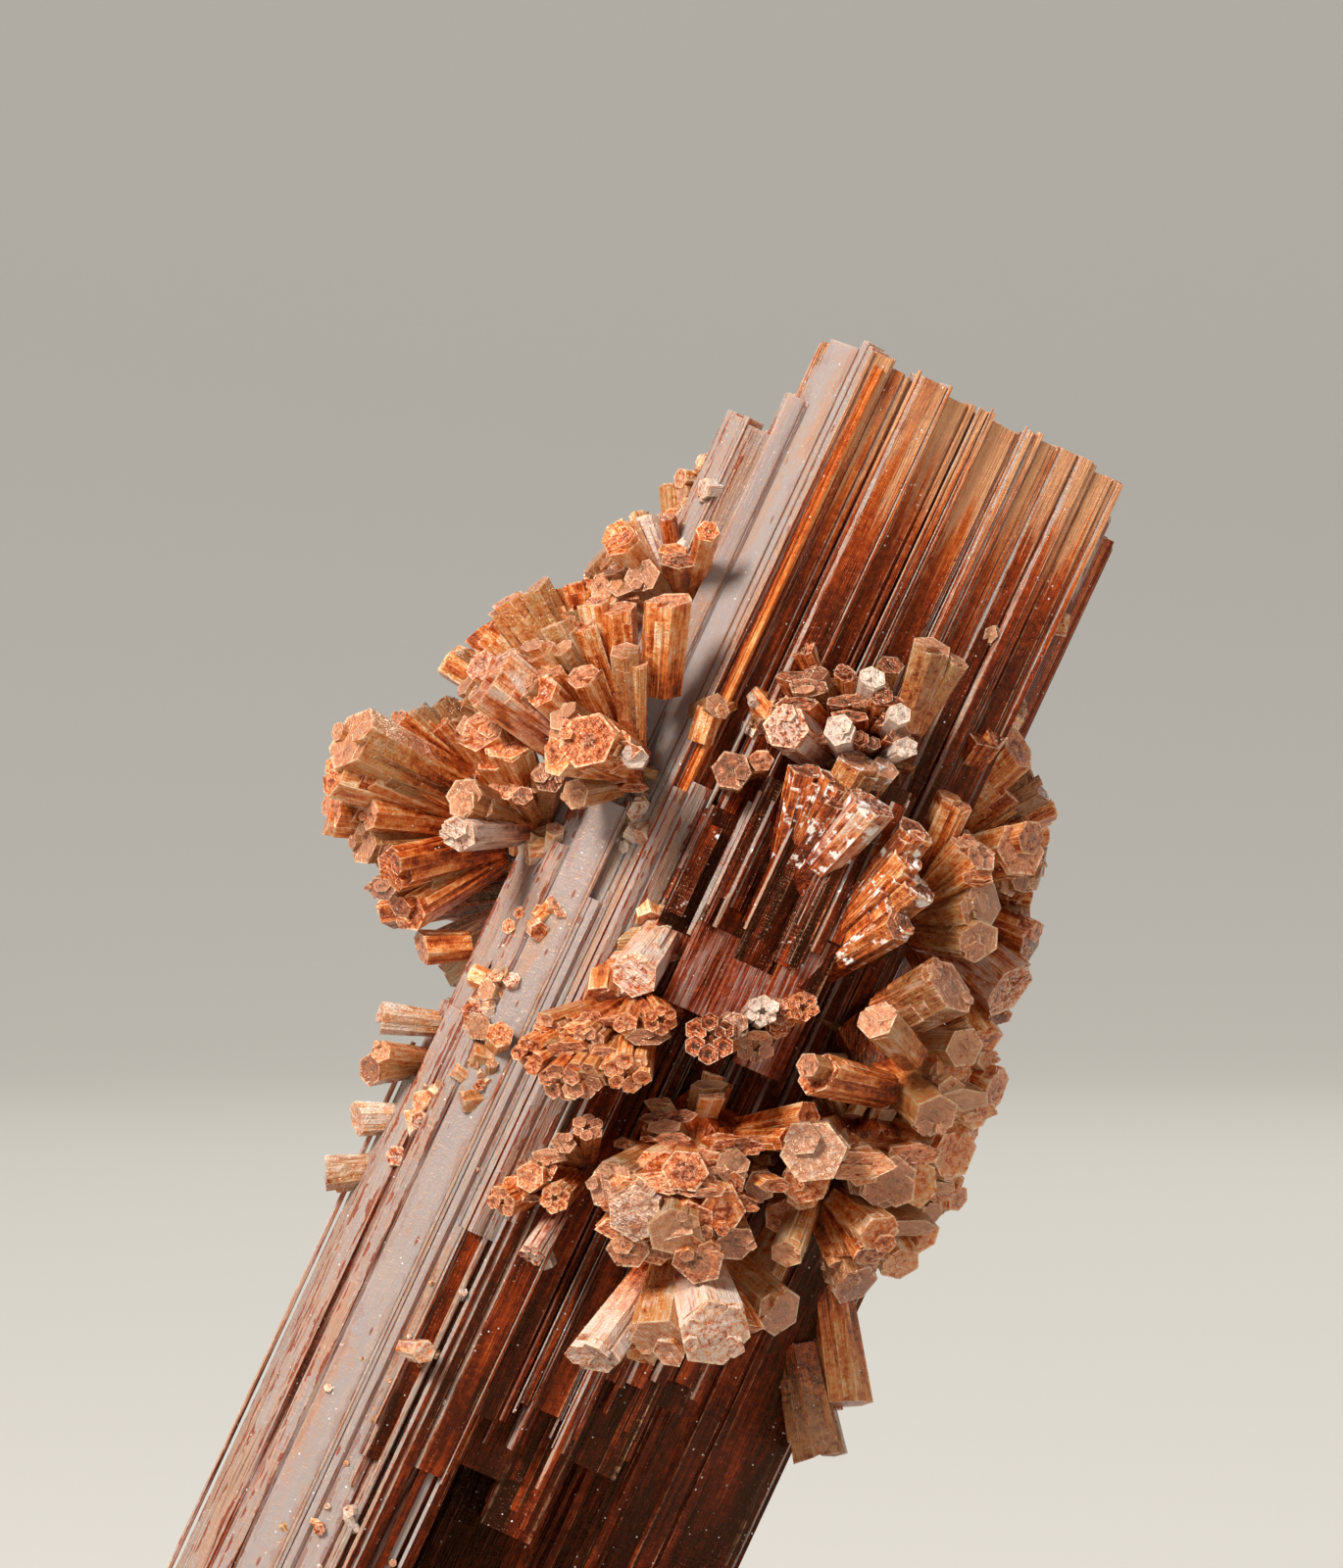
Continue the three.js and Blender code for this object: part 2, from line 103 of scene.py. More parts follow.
class Tip(NamedTuple):
    """Where a crystal of a spray ends, how wide it is and how washed out its colour is."""

    x: float
    y: float
    z: float
    width: float
    pale: float = 0.15


class Skin(NamedTuple):
    """What the finishes know of one prism.

    Attributes:
        tone: its shade, from dark at 0 to light at 1.
        pale: how milky it is.
        clear: a random share that sets how clear it is, and varies its ends.
        frost_and_glint: how frosted it is, partly real white frosting and partly painted glints.
        left_milk_and_light: how much milkier and lighter its left side is, the side towards the key light:
            partly milkier stone, partly painted light.
        fade: how far it pales towards its top.
    """

    tone: float
    pale: float
    clear: float = 0.5
    frost_and_glint: float = 0.0
    left_milk_and_light: float = 0.0
    fade: float = 0.0


class Habit(Enum):
    """How a spray's crystals are built up."""

    RIBBED = "ribbed"
    PLATES = "plates"
    STOUT = "stout"
    ROSETTE = "rosette"


def between(low: float, high: float, share: float) -> float:
    """The value a share of the way from low to high."""
    return low + (high - low) * share


class Repeatable:
    """The random source that the specimen's solids use, so that a crystal turns out the same here."""

    def __init__(self, seed: int) -> None:
        """Starts from a whole number."""
        self.state = seed & 0xFFFFFFFF

    def draw(self) -> float:
        """The next value from 0 up to 1.

        Returns:
            That value.
        """
        self.state = (self.state + 0x6D2B79F5) & 0xFFFFFFFF
        mixed = self._multiply(self.state ^ (self.state >> 15), 1 | self.state)
        turned = self._multiply(mixed ^ (mixed >> 7), 61 | mixed)
        mixed = ((mixed + turned) & 0xFFFFFFFF) ^ mixed
        return (mixed ^ (mixed >> 14)) / 4294967296

    @staticmethod
    def _multiply(one: int, other: int) -> int:
        """The low 32 bits of a product."""
        return (one * other) & 0xFFFFFFFF


class Growth:
    """Prisms that are to become one piece: each is kept apart until they are joined."""

    def __init__(self, name: str) -> None:
        """Starts an empty growth.

        Args:
            name: name of the piece that it becomes.
        """
        self.name = name
        self.meets_floor = False
        self.collection = bpy.data.collections.new(f"{name}_prisms")
        bpy.context.scene.collection.children.link(self.collection)

    def add(self, shape: bmesh.types.BMesh, placement: Matrix, skin: Skin, seed: int) -> None:
        """Marks a prism for its finish, puts it in place and keeps it.

        Args:
            shape: a prism along its own Z axis, its tip at the highest z.
            placement: from the prism's own frame to the standing frame.
            skin: what the finish is told about the prism.
            seed: shifts the patterns, so that neighbours differ.
        """
        mark_faces(shape, skin, seed)
        bmesh.ops.transform(shape, matrix=placement, verts=shape.verts)
        heights = [vertex.co.z for vertex in shape.verts]
        if max(heights) > 0.0:
            self.meets_floor = self.meets_floor or min(heights) < 0.0
            mesh = bpy.data.meshes.new(f"{self.name}_prism")
            shape.to_mesh(mesh)
            self.collection.objects.link(bpy.data.objects.new(mesh.name, mesh))
        shape.free()

    def join(self) -> bpy.types.Object:
        """Joins all prisms into one closed skin.

        Returns:
            The piece, in metres, over the frame's origin.
        """
        prisms = list(self.collection.objects)
        first = prisms[0]
        self.collection.objects.unlink(first)
        bpy.context.scene.collection.objects.link(first)
        union = first.modifiers.new("join", "BOOLEAN")
        union.operation = "UNION"
        union.solver = "MANIFOLD"
        union.operand_type = "COLLECTION"
        union.collection = self.collection
        if self.meets_floor:
            prisms.append(ground_block())
            cut = first.modifiers.new("cut", "BOOLEAN")
            cut.operation = "DIFFERENCE"
            cut.solver = "MANIFOLD"
            cut.object = prisms[-1]
        graph = bpy.context.evaluated_depsgraph_get()
        mesh = bpy.data.meshes.new_from_object(first.evaluated_get(graph), depsgraph=graph)
        mesh.name = self.name
        mesh.transform(TO_METRES)
        for prism in prisms:
            spent = prism.data
            bpy.data.objects.remove(prism)
            bpy.data.meshes.remove(spent)
        bpy.data.collections.remove(self.collection)
        piece = bpy.data.objects.new(self.name, mesh)
        bpy.context.scene.collection.objects.link(piece)
        return piece


def mark_faces(shape: bmesh.types.BMesh, skin: Skin, seed: int) -> None:
    """Gives a prism its face values and the two maps that the finishes follow.

    The map called run has millimetres round the prism and down from its tip. The map called edge has
    how far across its face a point is, with 0 and 1 at the edges, and millimetres down from the tip.

    Args:
        shape: a prism along its own Z axis.
        skin: values for all of its faces.
        seed: shifts the run map, in which a face's direction sets it further apart from its neighbours.
    """
    tone = shape.faces.layers.float.new("tone")
    pale = shape.faces.layers.float.new("pale")
    clear = shape.faces.layers.float.new("clear")
    frost_and_glint = shape.faces.layers.float.new("frost_and_glint")
    fade = shape.faces.layers.float.new("fade")
    end = shape.faces.layers.float.new("end")
    run = shape.loops.layers.uv.new("run")
    edge = shape.loops.layers.uv.new("edge")
    shape.normal_update()
    top = max(vertex.co.z for vertex in shape.verts)
    chance = random.Random(seed)
    farthest = 50.0
    shift = Vector((chance.uniform(0.0, farthest), chance.uniform(0.0, farthest)))
    face_gap = 7.0
    hubs = {
        vertex for vertex in shape.verts if all(abs(face.normal.z) > END_SLOPE for face in vertex.link_faces)
    }
    for face in shape.faces:
        face[tone] = skin.tone
        # Faces turned left, towards the key light, are paler: partly milkier stone, partly painted light
        face[pale] = min(1.0, skin.pale + (skin.left_milk_and_light if face.normal.x < 0.0 else 0.0))
        face[clear] = skin.clear
        face[frost_and_glint] = skin.frost_and_glint
        face[fade] = skin.fade
        at_end = abs(face.normal.z) > END_SLOPE
        face[end] = 1.0 if at_end else 0.0
        if at_end:
            for loop in face.loops:
                place = loop.vert.co
                loop[run].uv = (place.x + shift.x, place.y + shift.y)
                loop[edge].uv = (0.5 if loop.vert in hubs else 0.0, 0.0)
            continue
        along = Vector((-face.normal.y, face.normal.x)).normalized()
        across = [loop.vert.co.xy.dot(along) for loop in face.loops]
        least = min(across)
        spread = max(max(across) - least, 1e-6)
        for loop, reach in zip(face.loops, across):
            down = top - loop.vert.co.z
            loop[run].uv = (reach + shift.x + face_gap * face.normal.x, down + shift.y)
            loop[edge].uv = ((reach - least) / spread, down)


def ground_block() -> bpy.types.Object:
    """A block that fills the space under the floor, to cut off what a piece has there.

    Returns:
        The block, in the standing frame.
    """
    shape = bmesh.new()
    bmesh.ops.create_cube(shape, size=GROUND_SIZE)
    bmesh.ops.translate(shape, verts=shape.verts, vec=(0.0, 0.0, -GROUND_SIZE / 2))
    mark_faces(shape, Skin(0.4, 0.2), 0)
    mesh = bpy.data.meshes.new("ground_block")
    shape.to_mesh(mesh)
    shape.free()
    block = bpy.data.objects.new(mesh.name, mesh)
    bpy.context.scene.collection.objects.link(block)
    return block


def hexagonal_prism(radius: float, start: float, end: float, dome: float = 0.0) -> bmesh.types.BMesh:
    """A six-sided prism along Z.

    Args:
        radius: from the axis to a corner.
        start: height of its root.
        end: height of its tip.
        dome: how far the middle of the tip stands above its rim.

    Returns:
        The prism, with a hub in the middle of each end.
    """
    shape = bmesh.new()
    bmesh.ops.create_cone(
        shape, cap_ends=True, cap_tris=True, segments=6, radius1=radius, radius2=radius, depth=end - start
    )
    bmesh.ops.translate(shape, verts=shape.verts, vec=(0.0, 0.0, (start + end) / 2))
    for vertex in shape.verts:
        if vertex.co.xy.length < radius * 0.1 and vertex.co.z > (start + end) / 2:
            vertex.co.z += dome
    return shape


def outlined_prism(outline: Sequence[Point], start: float, end: float) -> bmesh.types.BMesh:
    """A prism along Z over an outline.

    Args:
        outline: corners of its cross-section.
        start: height of its root.
        end: height of its tip.

    Returns:
        The prism, with a hub in the middle of each end.
    """
    shape = bmesh.new()
    face = shape.faces.new([shape.verts.new((across, depth, start)) for across, depth in outline])
    grown = bmesh.ops.extrude_face_region(shape, geom=[face])
    raised = [item for item in grown["geom"] if isinstance(item, bmesh.types.BMVert)]
    bmesh.ops.translate(shape, verts=raised, vec=(0.0, 0.0, end - start))
    bmesh.ops.recalc_face_normals(shape, faces=shape.faces)
    ends = [item for item in shape.faces if abs(item.normal.z) > END_SLOPE]
    bmesh.ops.poke(shape, faces=ends)
    return shape


@dataclass(frozen=True)
class CrystalForm:
    """One crystal of a spray: a six-sided prism with thinner ones grown along its sides."""

    seat: Place
    tip: Tip
    seed: int
    starts_at: float = 0.3
    habit: Habit = Habit.RIBBED
    tone: float = 0.5
    frost_and_glint: float = 0.0

    FLATNESS = (0.84, 1.0)
    ROOT_SHARE = (0.66, 0.86)
    PLATE_STRETCH = 1.35
    TONE_STRAY = 0.45
    SLANT = 0.26
    SLANTED_FROM = 0.7
    PARTNERS = {Habit.RIBBED: 3, Habit.PLATES: 2, Habit.STOUT: 5}

    def build_into(self, growth: Growth) -> None:
        """Adds the crystal's prisms to a growth.

        Args:
            growth: where they go.
        """
        draws = Repeatable(self.seed)
        roll = draws.draw() * math.pi / 3
        flatness = between(*self.FLATNESS, draws.draw())
        root_share = between(*self.ROOT_SHARE, draws.draw())
        start = Vector(self.seat)
        along = Vector(self.tip[:3]) - start
        length = along.length
        along.normalize()
        upright = Vector((0.0, 1.0, 0.0)) if abs(along.z) > 0.95 else Vector((0.0, 0.0, 1.0))
        side = upright.cross(along).normalized()
        over = along.cross(side)
        placement = Matrix.Translation(start) @ Matrix((side, over, along)).transposed().to_4x4()
        stretch = self.PLATE_STRETCH if self.habit is Habit.PLATES else 1.0
        section = Matrix.Diagonal((stretch, flatness / stretch**2, 1.0, 1.0))
        placement = placement @ section @ Matrix.Rotation(roll, 4, "Z")

        chance = random.Random(self.seed)
        width = self.tip.width
        tone = min(1.0, max(0.0, self.tone + chance.uniform(-self.TONE_STRAY, self.TONE_STRAY)))
        clear = chance.random()
        for prism, stray in self._prisms(chance, width, length):
            slant = Vector([chance.uniform(-self.SLANT, self.SLANT) for _ in range(2)])
            for vertex in prism.verts:
                share = vertex.co.z / length
                if share > self.SLANTED_FROM:
                    vertex.co.z += vertex.co.xy.dot(slant)
                taper = between(root_share, 1.0, share)
                vertex.co.x *= taper
                vertex.co.y *= taper
            skin = Skin(between(tone, chance.random(), stray), self.tip.pale, clear, self.frost_and_glint)
            growth.add(prism, placement, skin, chance.randrange(SEED_LIMIT))

    def _prisms(
        self, chance: random.Random, width: float, length: float
    ) -> Iterable[tuple[bmesh.types.BMesh, float]]:
        """The main prism, then the thinner ones along it, which keep their sides parallel to its own.

        Args:
            chance: random source for this crystal.
            width: corner to corner, over all.
            length: from seat to tip.

        Yields:
            Each prism, and how far its shade may stray from the crystal's own.
        """
        root = self.starts_at * length
        pit = chance.uniform(-0.12, 0.08) * width
        if self.habit is Habit.ROSETTE:
            yield hexagonal_prism(0.34 * width, root, length - 0.22 * width, pit), 0.0
            yield from self._lobes(chance, width, root, length)
            return
        yield hexagonal_prism(0.48 * width, root, length * 0.995, pit), 0.0
        partners = self.PARTNERS[self.habit] + round(1.4 * width)
        first = chance.randrange(6)
        for index in range(partners):
            girth = chance.uniform(0.1, 0.34) * width
            angle = (first + index + chance.choice((0.5, 0.5, 0.5, 0.0))) * math.pi / 3
            proud = chance.uniform(0.0, 0.07) * width
            away = max(0.0, 0.42 * width + proud - girth * HEXAGON_FLAT)
            drop = chance.choice((-0.08, 0.0, 0.05, 0.12, 0.25, 0.5)) * width + chance.uniform(-0.01, 0.05)
            foot = root + chance.choice((0.0, 0.0, 0.3)) * (length - root)
            prism = hexagonal_prism(girth, foot, length - drop, chance.uniform(-0.3, 0.2) * girth)
            shift = (away * math.cos(angle), away * math.sin(angle), 0.0)
            bmesh.ops.translate(prism, verts=prism.verts, vec=shift)
            yield prism, 0.5

    def _lobes(
        self, chance: random.Random, width: float, root: float, length: float
    ) -> Iterable[tuple[bmesh.types.BMesh, float]]:
        """Six prisms round a sunken middle, as in a flower.

        Args:
            chance: random source for this crystal.
            width: corner to corner, over all.
            root: where the prisms start.
            length: from seat to tip.

        Yields:
            Each prism, and how far its shade may stray from the crystal's own.
        """
        for index in range(6):
            girth = chance.uniform(0.17, 0.23) * width
            prism = hexagonal_prism(girth, root, length - chance.uniform(0.0, 0.1) * width, -0.25 * girth)
            angle = (index + 0.5) * math.pi / 3
            away = 0.3 * width
            shift = (away * math.cos(angle), away * math.sin(angle), 0.0)
            bmesh.ops.translate(prism, verts=prism.verts, vec=shift)
            yield prism, 0.3


@dataclass(frozen=True)
class Spray:
    """Crystals that grow from one seat.

    Attributes:
        seat: where they start.
        tips: where the larger ones end.
        number: tells this spray's random draws from those of the others.
        core: size of the lump that their roots form, if any.
        infill: how many smaller ones stand between them.
        habit: how they are built up.
        tone: their shade, from dark at 0 to light at 1.
        frost_and_glint: how frosted they are, partly real white frosting and partly painted glints.
        aside: how far the smaller ones may turn from the camera's line, from 0 to 1.
        shared_pale: most of a larger one's paleness that a smaller one takes on.
    """

    seat: Place
    tips: tuple[Tip, ...]
    number: int
    core: float = 0.0
    infill: int = 0
    habit: Habit = Habit.RIBBED
    tone: float = 0.5
    frost_and_glint: float = 0.0
    aside: float = 0.0
    shared_pale: float = 0.7

    def build_into(self, growth: Growth) -> None:
        """Adds the spray's crystals, the smaller ones between them and the lump at their roots.

        Args:
            growth: where they go.
        """
        for index, tip in enumerate(self.tips):
            seed = SPRAY_SEEDS * (self.number + 1) + index
            CrystalForm(
                self.seat, tip, seed, habit=self.habit, tone=self.tone, frost_and_glint=self.frost_and_glint
            ).build_into(growth)
        self.fill_into(growth)
        if self.core:
            self._add_core(growth)

    def fill_into(self, growth: Growth) -> None:
        """Adds smaller crystals between the spray's own.

        Args:
            growth: where they go.
        """
        chance = random.Random(self.number)
        for index in range(self.infill):
            tip = self._tip_between(chance)
            seed = INFILL_SEEDS + SPRAY_SEEDS * self.number + index
            habit = chance.choice((Habit.RIBBED, Habit.PLATES, Habit.PLATES, self.habit))
            CrystalForm(self.seat, tip, seed, 0.4, habit, self.tone - 0.1, self.frost_and_glint).build_into(growth)

    def _tip_between(self, chance: random.Random) -> Tip:
        """A smaller crystal's tip, between two neighbouring tips and a little lower.

        Args:
            chance: random source for the smaller crystals.

        Returns:
            The tip.
        """
        seat = Vector(self.seat)
        first = chance.choice(self.tips)
        reach = Vector(first[:3]) - seat
        near = sorted(self.tips, key=lambda tip: (Vector(tip[:3]) - seat - reach).length)[1:5]
        second = chance.choice(near)
        other = Vector(second[:3]) - seat
        share = chance.uniform(0.25, 0.75)
        heading = reach.normalized().lerp(other.normalized(), share).normalized()
        length = between(reach.length, other.length, share) * chance.uniform(0.8, 1.0)
        turned = self.aside * chance.random()
        heading.y *= 1.0 - turned
        heading.normalize()
        place = seat + heading * length * (1.0 - 0.2 * turned)
        width = chance.uniform(0.55, 1.05) * between(first.width, second.width, share)
        return Tip(place.x, place.y, place.z, width, self.shared_pale * first.pale * chance.random())

    def _add_core(self, growth: Growth) -> None:
        """Adds the lump where the crystals' roots have grown together, and the small crystals on it.

        Args:
            growth: where they go.
        """
        seat = Vector(self.seat)
        outward = Vector()
        for tip in self.tips:
            outward += (Vector(tip[:3]) - seat).normalized()
        girth = self.core * 0.5
        shape = bmesh.new()
        bmesh.ops.create_icosphere(shape, subdivisions=1, radius=girth)
        middle = seat + outward.normalized() * (self.core * 0.9 - girth)
        growth.add(shape, Matrix.Translation(middle), Skin(0.0, 0.0, 0.0), self.number)
        chance = random.Random(self.number)
        for index in range(round(self.core * ROOT_CRYSTALS)):
            stray = Vector([chance.gauss(0.0, 1.0) for _ in range(3)]).normalized()
            heading = (outward.normalized() * 0.5 + stray).normalized()
            place = middle + heading * (girth + chance.uniform(0.05, 0.6))
            tip = Tip(place.x, place.y, place.z, chance.uniform(0.45, 1.0), 0.3 * chance.random())
            seed = ROOT_SEEDS + SPRAY_SEEDS * self.number + index
            crystal = CrystalForm(
                middle.to_tuple(), tip, seed, 0.6, Habit.PLATES, self.tone - 0.15, self.frost_and_glint
            )
            crystal.build_into(growth)


@dataclass(frozen=True)
class Facet:
    """A flat stretch of the column's side, from left to right as seen from outside it."""

    left: Point
    right: Point

    @property
    def length(self) -> float:
        """Its width in millimetres."""
        return (Vector(self.right) - Vector(self.left)).length

    @property
    def outward(self) -> Vector:
        """The direction that it faces."""
        run = Vector(self.right) - Vector(self.left)
        return Vector((run.y, -run.x)).normalized()

    def at(self, share: float, proud: float = 0.0) -> Vector:
        """A point a share of the way from left to right, standing this far out."""
        return Vector(self.left).lerp(Vector(self.right), share) + self.outward * proud


@dataclass(frozen=True)
class Ribbing:
    """Ribs and flat strips that run along the column on one facet.

    Attributes:
        facet: the facet.
        start: height of their roots along the column.
        end: height of their tips.
        widths: least and greatest width of a rib.
        strips: least and greatest width of a strip.
        strip_share: share of strips among them.
        proud: how far they stand out, at least and at most.
        ragged: how far a root and a tip may be drawn in.
        pale, left_milk_and_light, tone, frost, fade: as in a prism's skin.
        seed: random seed.
    """

    facet: Facet
    start: float
    end: float
    widths: Point = (0.12, 0.5)
    strips: Point = (0.4, 0.9)
    strip_share: float = 0.3
    proud: Point = (-0.05, 0.2)
    ragged: Point = (0.0, 0.0)
    pale: float = 0.2
    left_milk_and_light: float = 0.0
    tone: float = 0.5
    frost_and_glint: float = 0.0
    fade: float = 0.0
    seed: int = 1

    SUNK = 0.6
    WIDEST_BEVEL = 0.11

    def build_into(self, growth: Growth) -> None:
        """Adds the ribs and strips, side by side from left to right.

        Args:
            growth: where they go.
        """
        chance = random.Random(self.seed)
        reached = 0.0
        while reached < self.facet.length - 0.02:
            start = self.start + chance.uniform(0.0, self.ragged[0])
            end = self.end - chance.uniform(0.0, self.ragged[1])
            proud = between(*self.proud, chance.random())
            room = self.facet.length - reached
            if chance.random() < self.strip_share:
                width = min(between(*self.strips, chance.random()), room)
                prism = self._strip(reached, width, proud, start, end)
            else:
                width = min(between(*self.widths, chance.random() ** 1.6), room + 0.05)
                prism = self._rib(reached, width, proud, start, end, chance)
            skin = Skin(
                tone=between(self.tone, chance.random(), 0.4),
                pale=min(1.0, max(0.0, self.pale + chance.uniform(-0.15, 0.15))),
                clear=chance.random(),
                frost_and_glint=self.frost_and_glint,
                left_milk_and_light=self.left_milk_and_light * chance.random() ** 0.5,
                fade=self.fade,
            )
            growth.add(prism, STANDING, skin, chance.randrange(SEED_LIMIT))
            reached += width * chance.uniform(0.86, 0.98)

    def _strip(
        self, reached: float, width: float, proud: float, start: float, end: float
    ) -> bmesh.types.BMesh:
        """A flat strip with two bevelled edges.

        Args:
            reached: where it starts across the facet.
            width: how wide it is.
            proud: how far it stands out.
            start: height of its root.
            end: height of its tip.

        Returns:
            The strip, in the column's own frame.
        """
        length = self.facet.length
        bevel = min(self.WIDEST_BEVEL, width * 0.2)
        corners = (
            (reached, -self.SUNK),
            (reached, proud - bevel),
            (reached + bevel, proud),
            (reached + width - bevel, proud),
            (reached + width, proud - bevel),
            (reached + width, -self.SUNK),
        )
        outline = [self.facet.at(run / length, out).to_tuple() for run, out in corners]
        return outlined_prism(outline, start, end)

    def _rib(
        self, reached: float, width: float, proud: float, start: float, end: float, chance: random.Random
    ) -> bmesh.types.BMesh:
        """A six-sided rib, with a corner or a side facing out.

        Args:
            reached: where it starts across the facet.
            width: how wide it is.
            proud: how far it stands out.
            start: height of its root.
            end: height of its tip.
            chance: random source of this facet.

        Returns:
            The rib, in the column's own frame.
        """
        radius = width * 0.6
        middle = self.facet.at((reached + width / 2) / self.facet.length, proud - radius * HEXAGON_FLAT)
        prism = hexagonal_prism(radius, start, end, chance.uniform(-0.1, 0.1) * radius)
        outward = self.facet.outward
        turn = math.atan2(outward.y, outward.x) + chance.choice((0.0, 0.0, math.pi / 6))
        turn += chance.uniform(-0.06, 0.06)
        turned = Matrix.Rotation(turn, 3, "Z")
        bmesh.ops.rotate(prism, verts=prism.verts, cent=(0.0, 0.0, 0.0), matrix=turned)
        bmesh.ops.translate(prism, verts=prism.verts, vec=(middle.x, middle.y, 0.0))
        return prism


Colour = tuple[float, float, float, float]


def colour(red: float, green: float, blue: float) -> Colour:
    """An opaque colour from display values of 0 to 1.

    Args:
        red, green, blue: as a picture editor shows them.

    Returns:
        The same colour in linear light.
    """
    parts = (red, green, blue)
    linear = [part / 12.92 if part <= 0.04045 else ((part + 0.055) / 1.055) ** 2.4 for part in parts]
    return (linear[0], linear[1], linear[2], 1.0)


class Value:
    """A shader socket that takes part in sums, with each operator adding its Math node."""

    def __init__(self, nodes: "NodeBench", socket: Any) -> None:
        """Wraps an output socket of one of the bench's nodes."""
        self.nodes = nodes
        self.socket = socket

    def _math(self, operation: str, *others: "Value | float") -> "Value":
        """Adds a Math node whose first value is this one.

        Args:
            operation: what the node works out.
            others: its further values.

        Returns:
            Its result.
        """
        inputs = {0: self}
        for index, other in enumerate(others, start=1):
            inputs[index] = other
        return self.nodes.node("ShaderNodeMath", {"operation": operation}, inputs)

    def __add__(self, other: "Value | float") -> "Value":
        """This plus the other."""
        return self._math("ADD", other)

    def __mul__(self, other: "Value | float") -> "Value":
        """This times the other."""
        return self._math("MULTIPLY", other)

    def __sub__(self, other: "Value | float") -> "Value":
        """This minus the other."""
        return self._math("SUBTRACT", other)

    def __rsub__(self, other: float) -> "Value":
        """A number minus this."""
        return self.nodes.node("ShaderNodeMath", {"operation": "SUBTRACT"}, {0: other, 1: self})

    __radd__ = __add__
    __rmul__ = __mul__

    def lowest(self, other: "Value | float") -> "Value":
        """The smaller of the two."""
        return self._math("MINIMUM", other)

    def highest(self, other: "Value | float") -> "Value":
        """The larger of the two."""
        return self._math("MAXIMUM", other)

    def wave(self) -> "Value":
        """The sine of this."""
        return self._math("SINE")

    def ramp(self, low: float, high: float) -> "Value":
        """Rises smoothly from 0 at low to 1 at high, or falls where low is the larger."""
        inputs = {"Value": self, "From Min": low, "From Max": high, "To Min": 0.0, "To Max": 1.0}
        return self.nodes.node("ShaderNodeMapRange", {"interpolation_type": "SMOOTHSTEP"}, inputs)


